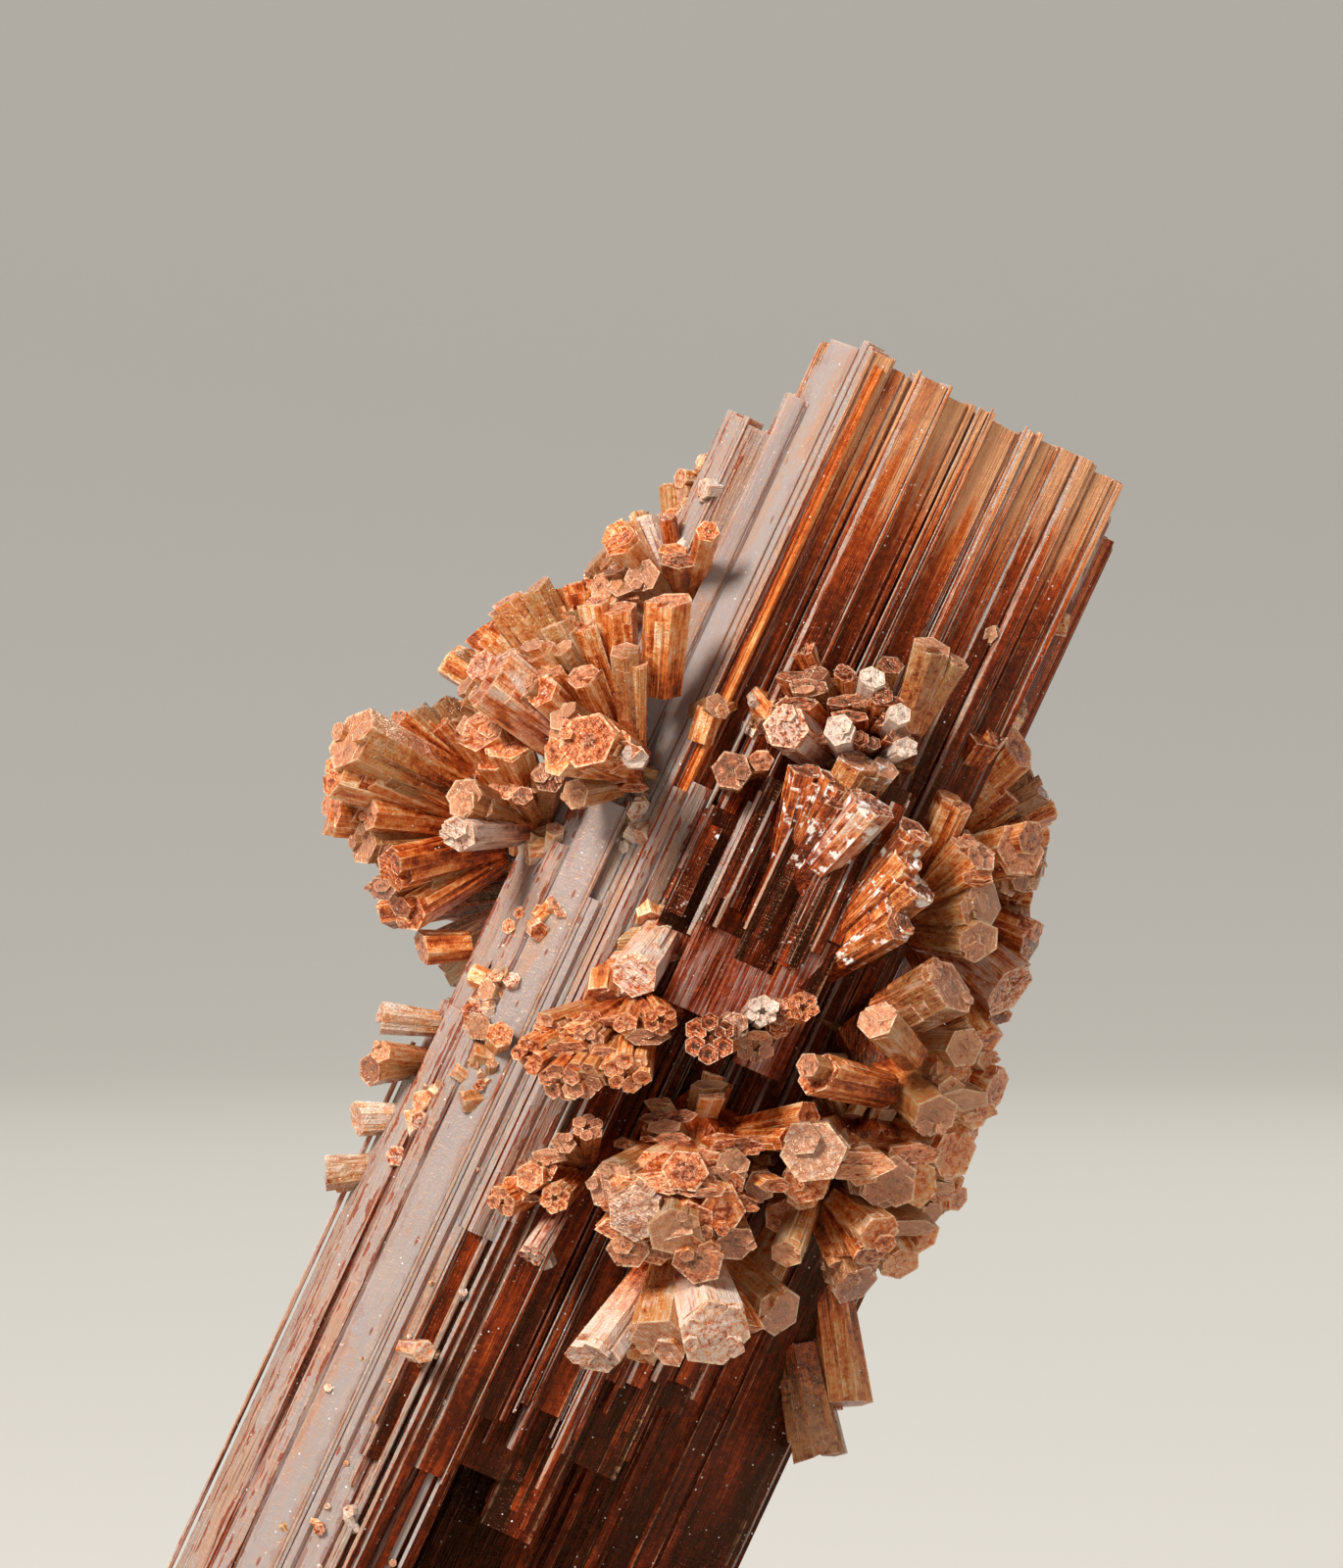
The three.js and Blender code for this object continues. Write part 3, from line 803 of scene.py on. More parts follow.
class NodeBench:
    """Builds the nodes of one material."""

    def __init__(self, name: str) -> None:
        """Starts a material with an empty node tree.

        Args:
            name: name of the material.
        """
        self.material = bpy.data.materials.new(name)
        self.material.use_nodes = True
        self.tree = self.material.node_tree
        self.tree.nodes.clear()

    def node(
        self,
        kind: str,
        settings: dict[str, Any] | None = None,
        inputs: dict[Any, Any] | None = None,
        output: Any = 0,
    ) -> Value:
        """Adds any node.

        Args:
            kind: the node's type.
            settings: its own settings, made before its sockets are filled. A ramp takes stops.
            inputs: values or links, by socket name or index.
            output: the output that is wanted.

        Returns:
            That output.
        """
        made = self.tree.nodes.new(kind)
        for name, setting in (settings or {}).items():
            if name == "stops":
                self._set_stops(made.color_ramp, setting)
            else:
                setattr(made, name, setting)
        for name, given in (inputs or {}).items():
            if isinstance(given, Value):
                self.tree.links.new(given.socket, made.inputs[name])
            else:
                made.inputs[name].default_value = given
        return Value(self, made.outputs[output])

    @staticmethod
    def _set_stops(ramp: bpy.types.ColorRamp, stops: Sequence[tuple[float, tuple[float, ...]]]) -> None:
        """Sets a colour ramp's stops, from lowest to highest.

        Args:
            ramp: the colour ramp.
            stops: place and colour of each stop.
        """
        while len(ramp.elements) < len(stops):
            ramp.elements.new(1.0)
        for element, (position, shade) in zip(ramp.elements, stops):
            element.position = position
            element.color = shade

    def mark(self, name: str) -> Value:
        """A value that the prisms' faces carry."""
        return self.node("ShaderNodeAttribute", {"attribute_name": name}, output="Fac")

    def map(self, name: str) -> Value:
        """A map of the piece."""
        return self.node("ShaderNodeUVMap", {"uv_map": name})

    def map_axes(self, name: str) -> tuple[Value, Value]:
        """The two axes of a map of the piece.

        Args:
            name: name of the map.

        Returns:
            Its first and its second axis.
        """
        whole = self.map(name)
        return (
            self.node("ShaderNodeSeparateXYZ", inputs={0: whole}, output="X"),
            self.node("ShaderNodeSeparateXYZ", inputs={0: whole}, output="Y"),
        )

    def stops(self, value: Value, stops: Sequence[tuple[float, Colour]]) -> Value:
        """A colour that goes through several stops as a value rises from 0 to 1."""
        return self.node("ShaderNodeValToRGB", {"stops": stops}, {0: value})

    def stretched(self, source: Value, scale: Place) -> Value:
        """Coordinates stretched along their axes."""
        return self.node("ShaderNodeVectorMath", {"operation": "MULTIPLY"}, {0: source, 1: scale})

    def noise(self, where: Value, scale: float, detail: float = 3.0, roughness: float = 0.55) -> Value:
        """Cloudy noise from 0 to 1."""
        inputs = {"Vector": where, "Scale": scale, "Detail": detail, "Roughness": roughness}
        return self.node("ShaderNodeTexNoise", inputs=inputs)

    def cells(self, where: Value, scale: float) -> Value:
        """Distance to the nearest of many scattered points."""
        return self.node("ShaderNodeTexVoronoi", inputs={"Vector": where, "Scale": scale})

    def mix(self, first: Any, second: Any, share: Value | float) -> Value:
        """One colour going over into another."""
        return self.node("ShaderNodeMix", {"data_type": "RGBA"}, {0: share, 6: first, 7: second}, output=2)

    def bump(
        self, height: Value, distance: float, strength: float = 1.0, under: Value | None = None
    ) -> Value:
        """A normal bent by a height, in metres.

        Args:
            height: the height, from 0 to about 1.
            distance: how much a height of 1 stands out.
            strength: how far the normal follows it.
            under: a normal that is bent already.

        Returns:
            The bent normal.
        """
        inputs = {"Height": height, "Distance": distance, "Strength": strength}
        if under is not None:
            inputs["Normal"] = under
        return self.node("ShaderNodeBump", inputs=inputs)

    def close(self, surface: Value, inside: Value | None = None) -> bpy.types.Material:
        """Ends the material.

        Args:
            surface: its surface.
            inside: what fills it, for clear stone.

        Returns:
            The finished material.
        """
        output = self.tree.nodes.new("ShaderNodeOutputMaterial")
        self.tree.links.new(surface.socket, output.inputs["Surface"])
        if inside is not None:
            self.tree.links.new(inside.socket, output.inputs["Volume"])
        return self.material


STAIN = (
    (0.00, colour(0.11, 0.024, 0.010)),
    (0.20, colour(0.31, 0.085, 0.028)),
    (0.40, colour(0.56, 0.200, 0.062)),
    (0.60, colour(0.78, 0.385, 0.150)),
    (0.80, colour(0.87, 0.590, 0.350)),
    (1.00, colour(0.91, 0.780, 0.640)),
)


@dataclass(frozen=True)
class Milkiness:
    """How light travels inside one kind of aragonite."""

    weight: float
    depth: float
    spread: Place = (1.0, 0.45, 0.25)


@dataclass(frozen=True)
class AragoniteFinish:
    """What both finishes share: the iron stain, the white specks that are partly real dusting and partly
    painted glints, and the ways that light goes in.
    """

    name: str
    dust_and_glint: Colour = colour(0.97, 0.95, 0.92)
    refraction: float = 1.6
    sheen_level: float = 0.5
    sheen_tint: Colour = colour(1.0, 0.80, 0.62)

    def dusted_with_glints(self, bench: NodeBench, skin: Value, run: Value, frost_and_glint: Value, amount: float) -> Value:
        """Scatters white specks over a colour, and white patches where a face is frosted: partly real dusting
        and frosting, partly painted glints.

        Args:
            bench: where its nodes go.
            skin: the colour.
            run: the map that the specks follow.
            frost_and_glint: how frosted a face is, partly real white frosting and partly painted glints.
            amount: how white the specks are.

        Returns:
            The colour with its specks and patches.
        """
        # White specks and patches: partly real dusting and frosting, partly painted glints of light
        specks = bench.cells(run, 3.2).ramp(0.11, 0.06)
        gathered = bench.noise(run, 0.9, 1.0).ramp(0.44, 0.6)
        crust = bench.noise(run, 1.4, 3.0, 0.7) + frost_and_glint * 0.5
        share = (specks * gathered * amount).highest(crust.ramp(0.82, 0.9))
        return bench.mix(skin, self.dust_and_glint, share)

    def stone(
        self, bench: NodeBench, skin: Value, rough: Value, relief: Value, milkiness: Milkiness
    ) -> Value:
        """Cloudy stone, which light enters a little way.

        Args:
            bench: where its nodes go.
            skin: its colour.
            rough: its roughness.
            relief: its normal.
            milkiness: how far light goes in.

        Returns:
            The shader.
        """
        inputs = {
            "Base Color": skin,
            "Roughness": rough,
            "IOR": self.refraction,
            "Specular IOR Level": self.sheen_level,
            "Specular Tint": self.sheen_tint,
            "Subsurface Weight": milkiness.weight,
            "Subsurface Radius": milkiness.spread,
            "Subsurface Scale": milkiness.depth,
            "Normal": relief,
        }
        return bench.node("ShaderNodeBsdfPrincipled", inputs=inputs)

    def glass(self, bench: NodeBench, skin: Value, rough: Value, relief: Value) -> Value:
        """Clear stone, which shows what is behind it.

        Args:
            bench: where its nodes go.
            skin: its colour.
            rough: its roughness.
            relief: its normal.

        Returns:
            The shader.
        """
        inputs = {
            "Base Color": skin,
            "Roughness": rough,
            "IOR": self.refraction,
            "Transmission Weight": 1.0,
            "Normal": relief,
        }
        return bench.node("ShaderNodeBsdfPrincipled", inputs=inputs)


@dataclass(frozen=True)
class CrystalFinish(AragoniteFinish):
    """Small side crystals: amber, with painted light where they are thin, darker roots that are partly
    painted shade and partly deeper stain, painted highlights on their edges, and etched ends.
    """

    # Pale rim colour: painted highlights along edges and tips, and, mixed half and half with the skin, the
    # tint of the clear stone
    rim: Colour = colour(0.97, 0.84, 0.70)
    blush: Colour = colour(0.78, 0.58, 0.46)
    milk: Colour = colour(0.82, 0.74, 0.69)
    honey: Colour = colour(0.74, 0.55, 0.34)
    amber: Colour = colour(0.95, 0.72, 0.48)
    depth_of_colour: float = 300.0
    sheen_level: float = 0.7
    milkiness: Milkiness = Milkiness(0.3, 0.00032, (1.0, 0.5, 0.25))

    def material(self) -> bpy.types.Material:
        """Builds the material.

        Returns:
            The finished material.
        """
        bench = NodeBench(self.name)
        run = bench.map("run")
        across, down = bench.map_axes("edge")
        tone = bench.mark("tone")
        pale = bench.mark("pale")
        clear = bench.mark("clear")
        end = bench.mark("end")
        frost_and_glint = bench.mark("frost_and_glint")

        # Patterns in millimetres of the surface, those along the crystal drawn out
        lines = bench.noise(bench.stretched(run, (1.0, 0.05, 1.0)), 15.0, 1.0, 0.65)
        clouds = bench.noise(bench.stretched(run, (1.0, 0.45, 1.0)), 1.7, 2.0, 0.6)
        mottle = bench.noise(run, 4.5, 2.0, 0.7)
        grain = bench.noise(run, 13.0, 1.0, 0.75)
        facets = bench.cells(run, 4.0)
        rim = across.lowest(1.0 - across)
        side = 1.0 - end
        near_tip = down.ramp(3.6, 0.2)

        # Sides: stained, darker towards the roots (partly painted shade among the crystals, partly deeper
        # stain), brighter near the face edges as painted light through thin stone, honey where they are
        # clear, washed out where pale, with painted highlights along edges and tip
        level = 0.10 + tone * 0.48 + (clouds - 0.5) * 1.1 + (mottle - 0.5) * 0.7 + (lines - 0.5) * 0.6
        # Painted light brightens the stone near the face edges, where it is thin; lighter towards the tip, so
        # the roots stay darker, partly as painted shade
        level = level + rim.ramp(0.4, 0.0) * 0.14 + near_tip * 0.28
        body = bench.stops(level, STAIN)
        body = bench.mix(body, self.honey, clear.ramp(0.4, 0.8) * near_tip * mottle.ramp(0.32, 0.55) * 0.7)
        milky = (pale + (clouds - 0.5) * 1.2 + (lines - 0.5) * 0.4).ramp(0.36, 0.8)
        body = bench.mix(body, self.milk, milky * near_tip)
        # Painted highlights: pale lines along the side edges and along the edge of the tip
        painted_edge_highlight = rim.ramp(0.06, 0.0) * near_tip * mottle.ramp(0.4, 0.6)
        painted_tip_highlight = down.ramp(0.12, 0.02) * mottle.ramp(0.35, 0.6)
        body = bench.mix(body, self.rim, (painted_edge_highlight * 0.7).highest(painted_tip_highlight * 0.8) * side)

        # Ends: etched in zones that follow their outline, darker towards the middle, with a painted highlight
        # along the rim
        zones = (across * 22.0 + clear * 40.0 + mottle * 2.0).wave()
        worn = 0.30 + tone * 0.46 + (grain - 0.5) * 0.4 + (mottle - 0.5) * 0.8 + zones * 0.09
        worn = worn - across.ramp(0.15, 0.5) * 0.2
        etched = bench.stops(worn, STAIN)
        blushing = (clear * 0.5 + mottle * 1.3 + (grain - 0.5) * 0.9).ramp(0.6, 1.0)
        etched = bench.mix(etched, self.blush, blushing * (0.2 + tone * 0.9).lowest(0.75))
        whitish = (pale + (mottle - 0.5) * 1.4 + (grain - 0.5) * 0.8).ramp(0.4, 0.95)
        etched = bench.mix(etched, self.milk, whitish)
        etched = bench.mix(etched, self.rim, across.ramp(0.07, 0.0) * mottle.ramp(0.35, 0.55) * 0.7)
        skin = self.dusted_with_glints(bench, bench.mix(body, etched, end), run, frost_and_glint, 0.9)

        # Cloudy and clear stone, the clear part only near the tip
        relief = bench.bump(lines + mottle * 0.5, 0.00007, 1.0)
        relief = bench.bump(grain * 0.5 + facets * (0.4 + end * 0.3), 0.00009, 1.0, relief)
        rough = 0.05 + 0.42 * grain * mottle + end * 0.06
        cloudy = self.stone(bench, skin, rough, relief, self.milkiness)
        clean = self.glass(bench, bench.mix(skin, self.rim, 0.5), rough * 0.4, relief)
        see_through = near_tip * clear.ramp(0.45, 0.95) * (1.0 - milky) * (0.55 - end * 0.3)
        surface = bench.node("ShaderNodeMixShader", inputs={0: see_through, 1: cloudy, 2: clean})
        inputs = {"Color": self.amber, "Density": self.depth_of_colour}
        return bench.close(surface, bench.node("ShaderNodeVolumeAbsorption", inputs=inputs))


@dataclass(frozen=True)
class ColumnFinish(AragoniteFinish):
    """The column: milky pale strips with stained seams, and red-brown flutes that pale towards the top."""

    sheen_level: float = 0.3
    sheen_tint: Colour = colour(1.0, 0.70, 0.50)
    blush: Colour = colour(0.66, 0.53, 0.455)
    # Greyish violet of the milky stone: partly its own colour, partly a painted sheen of the surround
    lilac_and_sheen: Colour = colour(0.60, 0.56, 0.55)
    cream: Colour = colour(0.80, 0.64, 0.49)
    seam: Colour = colour(0.50, 0.19, 0.075)
    clean: Milkiness = Milkiness(0.0, 0.0003)
    cloudy: Milkiness = Milkiness(0.6, 0.0009)

    def material(self) -> bpy.types.Material:
        """Builds the material.

        Returns:
            The finished material.
        """
        bench = NodeBench(self.name)
        run = bench.map("run")
        across, down = bench.map_axes("edge")
        tone = bench.mark("tone")
        pale = bench.mark("pale")
        end = bench.mark("end")
        frost_and_glint = bench.mark("frost_and_glint")
        fades = bench.mark("fade")

        # Patterns in millimetres of the surface, most of them drawn out along the column
        streaks = bench.noise(bench.stretched(run, (1.0, 0.03, 1.0)), 6.0, 2.0, 0.75)
        fine = bench.noise(bench.stretched(run, (1.0, 0.05, 1.0)), 24.0, 1.0, 0.7)
        cracks = bench.noise(bench.stretched(run, (0.35, 1.0, 1.0)), 9.0, 1.0, 0.75)
        clouds = bench.noise(bench.stretched(run, (1.0, 0.22, 1.0)), 0.8, 3.0, 0.6)
        mottle = bench.noise(run, 3.5, 2.0, 0.7)
        grain = bench.noise(run, 13.0, 1.0, 0.75)
        dashes = bench.cells(bench.stretched(run, (1.0, 0.3, 1.0)), 2.0).ramp(0.12, 0.07)
        rim = across.lowest(1.0 - across)
        side = 1.0 - end
        pure = pale.ramp(0.85, 1.0)

        # Red-brown stone, which goes over into cream towards the top
        fade = (down + (streaks - 0.5) * 10.0 + (clouds - 0.5) * 8.0 - tone * 2.0).ramp(7.0, 0.0) * fades
        level = 0.02 + tone * 0.42 + (clouds - 0.5) * 1.0 + (streaks - 0.5) * 0.6 + (fine - 0.5) * 0.35
        level = level + (cracks - 0.5) * 0.15 + (mottle - 0.5) * 0.4 + fade * 0.38
        stained = bench.stops(level, STAIN)
        stained = bench.mix(stained, self.cream, (fade + (clouds - 0.5) * 1.6).ramp(0.6, 1.0) * 0.6)
        # Painted highlights: thin cream lines along the edges of ribs and strips
        painted_rim_highlight = rim.ramp(0.09, 0.0) * (streaks + fade * 0.3).ramp(0.45, 0.62) * mottle.ramp(0.3, 0.6)
        stained = bench.mix(stained, self.cream, painted_rim_highlight * 0.6)

        # Milky stone: blush going over into greyish violet, partly its own colour and partly a painted sheen
        # of the surround, with dashes, streaks and stained seams that the purest strips have less of
        greying_and_sheen = clouds + (mottle - 0.5) * 0.3 + pure * 0.06
        milk = bench.mix(self.blush, self.lilac_and_sheen, greying_and_sheen.ramp(0.38, 0.6))
        creamy = (streaks + (clouds - 0.5)).ramp(0.5, 0.8)
        milk = bench.mix(milk, self.cream, creamy * 0.4 * (1.0 - pure * 0.5))
        milk = bench.mix(milk, self.seam, dashes * clouds.ramp(0.34, 0.52) * 0.8)
        stained_streak = (streaks + (fine - 0.5) * 0.5).ramp(0.6, 0.7)
        milk = bench.mix(milk, self.seam, stained_streak * 0.85 * (1.0 - pure * 0.9))
        wander = bench.noise(bench.stretched(run, (1.0, 0.35, 1.0)), 2.2, 3.0, 0.7)
        dark_edge = (rim + (wander - 0.53) * 1.5).ramp(0.05, 0.0) * (1.0 - pure * 0.8)
        milk = bench.mix(milk, self.seam, dark_edge * (0.55 + grain * 0.6))
        milky = (pale + (streaks - 0.5) * 0.8 + (clouds - 0.5) * 0.5 * (1.0 - pure)).ramp(0.42, 0.6)

        # Both together, with broken ends
        skin = bench.mix(stained, milk, milky)
        broken = bench.stops(0.45 + tone * 0.2 + (grain - 0.5) * 1.0 + (mottle - 0.5) * 0.6, STAIN)
        skin = bench.mix(skin, bench.mix(broken, self.cream, pale.ramp(0.3, 0.9) * 0.7), end)
        skin = self.dusted_with_glints(bench, skin, run, frost_and_glint, 0.9)

        ridges = (streaks + fine * 0.6 + cracks * 0.4) * (1.0 - pure * 0.75)
        relief = bench.bump(ridges + mottle * 0.3, 0.00009, 0.9)
        relief = bench.bump(grain * end + grain * 0.12, 0.00016, 0.8, relief)
        rough = 0.10 + 0.5 * grain * mottle
        surface = bench.node(
            "ShaderNodeMixShader",
            inputs={
                0: milky * side,
                1: self.stone(bench, skin, rough, relief, self.clean),
                2: self.stone(bench, skin, rough, relief, self.cloudy),
            },
        )
        return bench.close(surface)


@dataclass(frozen=True)
class StudioFinish:
    """A plain matt surface that glows a little, as a lit paper surround does."""

    name: str
    shade: Colour
    roughness: float = 0.8
    glow: float = 0.25

    def material(self) -> bpy.types.Material:
        """Builds the material.

        Returns:
            The finished material.
        """
        bench = NodeBench(self.name)
        inputs = {
            "Base Color": self.shade,
            "Roughness": self.roughness,
            "Emission Color": self.shade,
            "Emission Strength": self.glow,
        }
        material = bench.close(bench.node("ShaderNodeBsdfPrincipled", inputs=inputs))
        material.cycles.emission_sampling = "NONE"
        return material


@dataclass
class Column:
    """The leaning column, in three pieces that overlap."""

    finish: bpy.types.Material
    main_start: float = 15.5
    main_end: float = 44.3
    lower_start: float = 6.9
    lower_end: float = 16.0
    left_end: float = 29.2
    outer_left_end: float = 19.0
    back_end: float = 23.8
    terrace_solid_end: float = 28.0
    terrace_rib_start: float = 26.4
    steps_end: float = 17.0
    rib_rise: float = 0.3
    end_grain: float = 0.62

    MAIN = ((-4.4, -2.4), (-2.9, -4.3), (5.4, -1.2), (5.45, 2.5), (1.0, 4.9), (-3.7, 2.9))
    LOWER_MAIN = ((-4.2, -2.4), (-2.8, -4.2), (-0.6, -3.5), (0.5, 3.1), (-3.4, 2.7))
    LEFT_BUNDLE = (
        (-6.4, -1.5), (-5.5, -3.2), (-2.4, -4.3), (-0.6, -3.5), (-0.5, 2.1), (-3.5, 3.3), (-6.1, 1.5),
    )
    OUTER_LEFT = ((-6.7, -0.6), (-6.3, -2.1), (-5.2, -3.2), (-5.0, 1.0), (-6.4, 0.9))
    SET_BACK = ((0.0, 0.0), (4.6, -0.7), (8.8, 1.3), (9.0, 4.3), (5.0, 6.5), (-0.7, 5.3))

    def build(self) -> list[bpy.types.Object]:
        """Builds and dresses the column's pieces.

        Returns:
            The three pieces.
        """
        pieces = [self._main(), self._left_bundle(), self._set_back()]
        for piece in pieces:
            dress(piece, self.finish)
        return pieces

    def _solid(self, growth: Growth, outline: Sequence[Point], start: float, end: float, skin: Skin) -> None:
        """Adds one plain prism of the column."""
        growth.add(outlined_prism(outline, start, end), STANDING, skin, len(growth.collection.objects))

    def _ribbed_prism(
        self, growth: Growth, outline: Sequence[Point], ribs: Ribbing, skin: Skin
    ) -> None:
        """Adds a prism whose every side is ribbed.

        Args:
            growth: where it goes.
            outline: corners of its cross-section.
            ribs: how each side is ribbed; its facet and seed are set here.
            skin: values for the prism itself.
        """
        self._solid(growth, outline, ribs.start, ribs.end - self.rib_rise, skin)
        corners = [*outline, outline[0]]
        for index, (one, other) in enumerate(zip(corners, corners[1:])):
            replace(ribs, facet=Facet(one, other), seed=ribs.seed * 10 + index).build_into(growth)

    def _broken_end(
        self, growth: Growth, outline: Sequence[Point], end: float, skin: Skin, seed: int
    ) -> None:
        """Covers the flat end of a prism with the ends of the thinner ones that it is made of.

        Args:
            growth: where they go.
            outline: corners of the prism's cross-section.
            end: height of its flat end along the axis.
            skin: values for the thin prisms.
            seed: random seed.
        """
        chance = random.Random(seed)
        corners = [Vector(corner) for corner in outline]
        middle = sum(corners, Vector((0.0, 0.0))) / len(corners)
        breadth = max((corner - middle).length for corner in corners)
        step = self.end_grain
        rows = round(breadth / step)
        for row in range(-rows, rows + 1):
            for place in range(-rows, rows + 1):
                spot = Vector(((place + 0.5 * (row % 2)) * step, row * step * HEXAGON_FLAT))
                spot += Vector((chance.uniform(-0.14, 0.14), chance.uniform(-0.14, 0.14)))
                if not self._is_inside(middle + spot, corners, 0.34):
                    continue
                wave = math.sin(1.7 * spot.x) * math.cos(1.3 * spot.y)
                height = end + chance.uniform(-0.12, 0.16) + 0.12 * wave
                radius = chance.uniform(0.3, 0.46)
                prism = hexagonal_prism(radius, end - 1.2, height, chance.uniform(-0.1, 0.08))
                bmesh.ops.translate(prism, verts=prism.verts, vec=(*(middle + spot), 0.0))
                shade = skin._replace(tone=between(skin.tone, chance.random(), 0.5), clear=chance.random())
                growth.add(prism, STANDING, shade, chance.randrange(SEED_LIMIT))

    @staticmethod
    def _is_inside(spot: Vector, corners: Sequence[Vector], margin: float) -> bool:
        """Whether a spot lies inside an outline, at least a margin from its sides.

        Args:
            spot: the spot.
            corners: corners of the outline, in order.
            margin: least distance from a side.

        Returns:
            True where it does.
        """
        for one, other in zip(corners, [*corners[1:], corners[0]]):
            run = (other - one).normalized()
            away = spot - one
            if run.x * away.y - run.y * away.x < margin:
                return False
        return True

    def _main(self) -> bpy.types.Object:
        """The main prism with its pale face and its flutes.

        Returns:
            The piece.
        """
        growth = Growth("column_main")
        self._solid(growth, self.MAIN, self.main_start, self.main_end, Skin(0.2, 0.1, fade=1.0))
        self._broken_end(growth, self.MAIN, self.main_end, Skin(0.6, 0.66, fade=1.0), 70)
        self._solid(growth, self.LOWER_MAIN, self.lower_start, self.lower_end, Skin(0.1, 0.1))
        self._pale_face(growth)
        for number, (left, right, proud, start, end, pale) in enumerate(FLUTES):
            Ribbing(
                facet=Facet((left, face_depth(left)), (right, face_depth(right))),
                start=start,
                end=end + 0.1,
                widths=(0.08, 0.3),
                strips=(0.4, 1.1),
                strip_share=0.5,
                proud=(proud - 0.1, proud + 0.05),
                ragged=(2.4, 0.16),
                pale=pale * 0.5,
                left_milk_and_light=0.6,
                tone=0.4,
                fade=1.0,
                seed=20 + number,
            ).build_into(growth)
        sides = (
            (Facet((5.5, -1.4), (5.55, 2.5)), 44.5, 0.25),
            (Facet((5.55, 2.5), (1.0, 5.0)), 44.6, 0.4),
            (Facet((1.0, 5.0), (-3.8, 3.0)), 44.6, 0.45),
            (Facet((-3.8, 3.0), (-4.5, -2.6)), 44.5, 0.55),
        )
        for number, (facet, end, pale) in enumerate(sides):
            Ribbing(
                facet=facet,
                start=15.6,
                end=end,
                proud=(-0.02, 0.16),
                ragged=(0.0, 0.6),
                pale=pale,
                fade=0.8,
                seed=50 + number,
            ).build_into(growth)
        for number, (outline, start, end, pale) in enumerate(SIDE_PRISMS):
            ribs = Ribbing(
                facet=BLANK,
                start=start,
                end=end,
                widths=(0.25, 0.5),
                strips=(0.4, 0.8),
                strip_share=0.5,
                proud=(-0.06, 0.05),
                ragged=(0.4, 0.3),
                pale=pale,
                left_milk_and_light=0.3,
                tone=0.55,
                fade=0.5,
                seed=60 + number,
            )
            self._ribbed_prism(growth, outline, ribs, Skin(0.4, pale))
        for number, (left, right, front, start, end) in enumerate(TERRACE_BLOCKS):
            outline = ((left, front), (right, front + 0.5), (right, -1.6), (left, -3.6))
            ribs = Ribbing(
                facet=BLANK,
                start=self.terrace_rib_start,
                end=end,
                widths=(0.12, 0.3),
                strips=(0.3, 0.6),
                strip_share=0.5,
                proud=(-0.1, 0.2),
                ragged=(1.8, 1.4),
                pale=0.0,
                left_milk_and_light=0.85,
                tone=0.32,
                frost_and_glint=0.35,
                seed=90 + number,
            )
            self._solid(growth, outline, start, self.terrace_solid_end, Skin(0.8, 0.48))
            self._ribbed_prism(growth, outline, ribs, Skin(0.1, 0.0))
        # The step blocks are dark: partly deep stain, partly painted shade under the main prism
        for number, (left, right, front, back, start) in enumerate(STEP_BLOCKS):
            outline = ((left, front), (right, front + 0.4), (right, back), (left, back))
            ribs = Ribbing(
                facet=BLANK,
                start=start,
                end=self.steps_end,
                widths=(0.12, 0.34),
                strips=(0.25, 0.45),
                strip_share=0.3,
                proud=(-0.12, 0.16),
                ragged=(2.2, 0.0),
                pale=0.05,
                left_milk_and_light=0.4,
                tone=0.3,
                seed=120 + number,
            )
            self._ribbed_prism(growth, outline, ribs, Skin(0.1, 0.0))
        return growth.join()

    def _pale_face(self, growth: Growth) -> None:
        """The broad milky face on the left of the main prism, its seam and the orange crest beside it.

        Args:
            growth: where it goes.
        """
        face = Facet((-4.55, -2.45), (-2.95, -4.62))
        for number, (left, right, proud, end, pale, tone) in enumerate(PALE_STRIPS):
            corners = [face.at(left, -0.6), face.at(left, proud), face.at(right, proud), face.at(right, -0.6)]
            outline = [corner.to_tuple() for corner in corners]
            growth.add(outlined_prism(outline, 15.6, end), STANDING, Skin(tone, pale, fade=0.5), 300 + number)
        crest = Facet(face.at(0.95, 0.02).to_tuple(), (-2.55, -4.62))
        Ribbing(
            facet=crest,
            start=18.0,
            end=44.8,
            widths=(0.1, 0.26),
            strip_share=0.0,
            proud=(0.0, 0.14),
            ragged=(0.0, 1.2),
            tone=1.9,
            seed=4,
        ).build_into(growth)
        beside = Facet((-3.0, -4.66), (-1.85, -4.2))
        Ribbing(
            facet=beside,
            start=15.6,
            end=33.6,
            widths=(0.15, 0.4),
            strips=(0.5, 0.9),
            strip_share=0.7,
            proud=(0.1, 0.3),
            ragged=(0.0, 4.0),
            pale=0.8,
            left_milk_and_light=0.3,
            tone=0.6,
            seed=6,
        ).build_into(growth)
        under = Facet((-4.3, -2.4), (-2.9, -4.5))
        Ribbing(
            facet=under,
            start=self.lower_start,
            end=16.2,
            widths=(0.2, 0.5),
            strips=(0.5, 0.9),
            strip_share=0.6,
            proud=(0.0, 0.1),
            ragged=(0.8, 0.0),
            pale=0.7,
            left_milk_and_light=0.3,
            seed=5,
        ).build_into(growth)

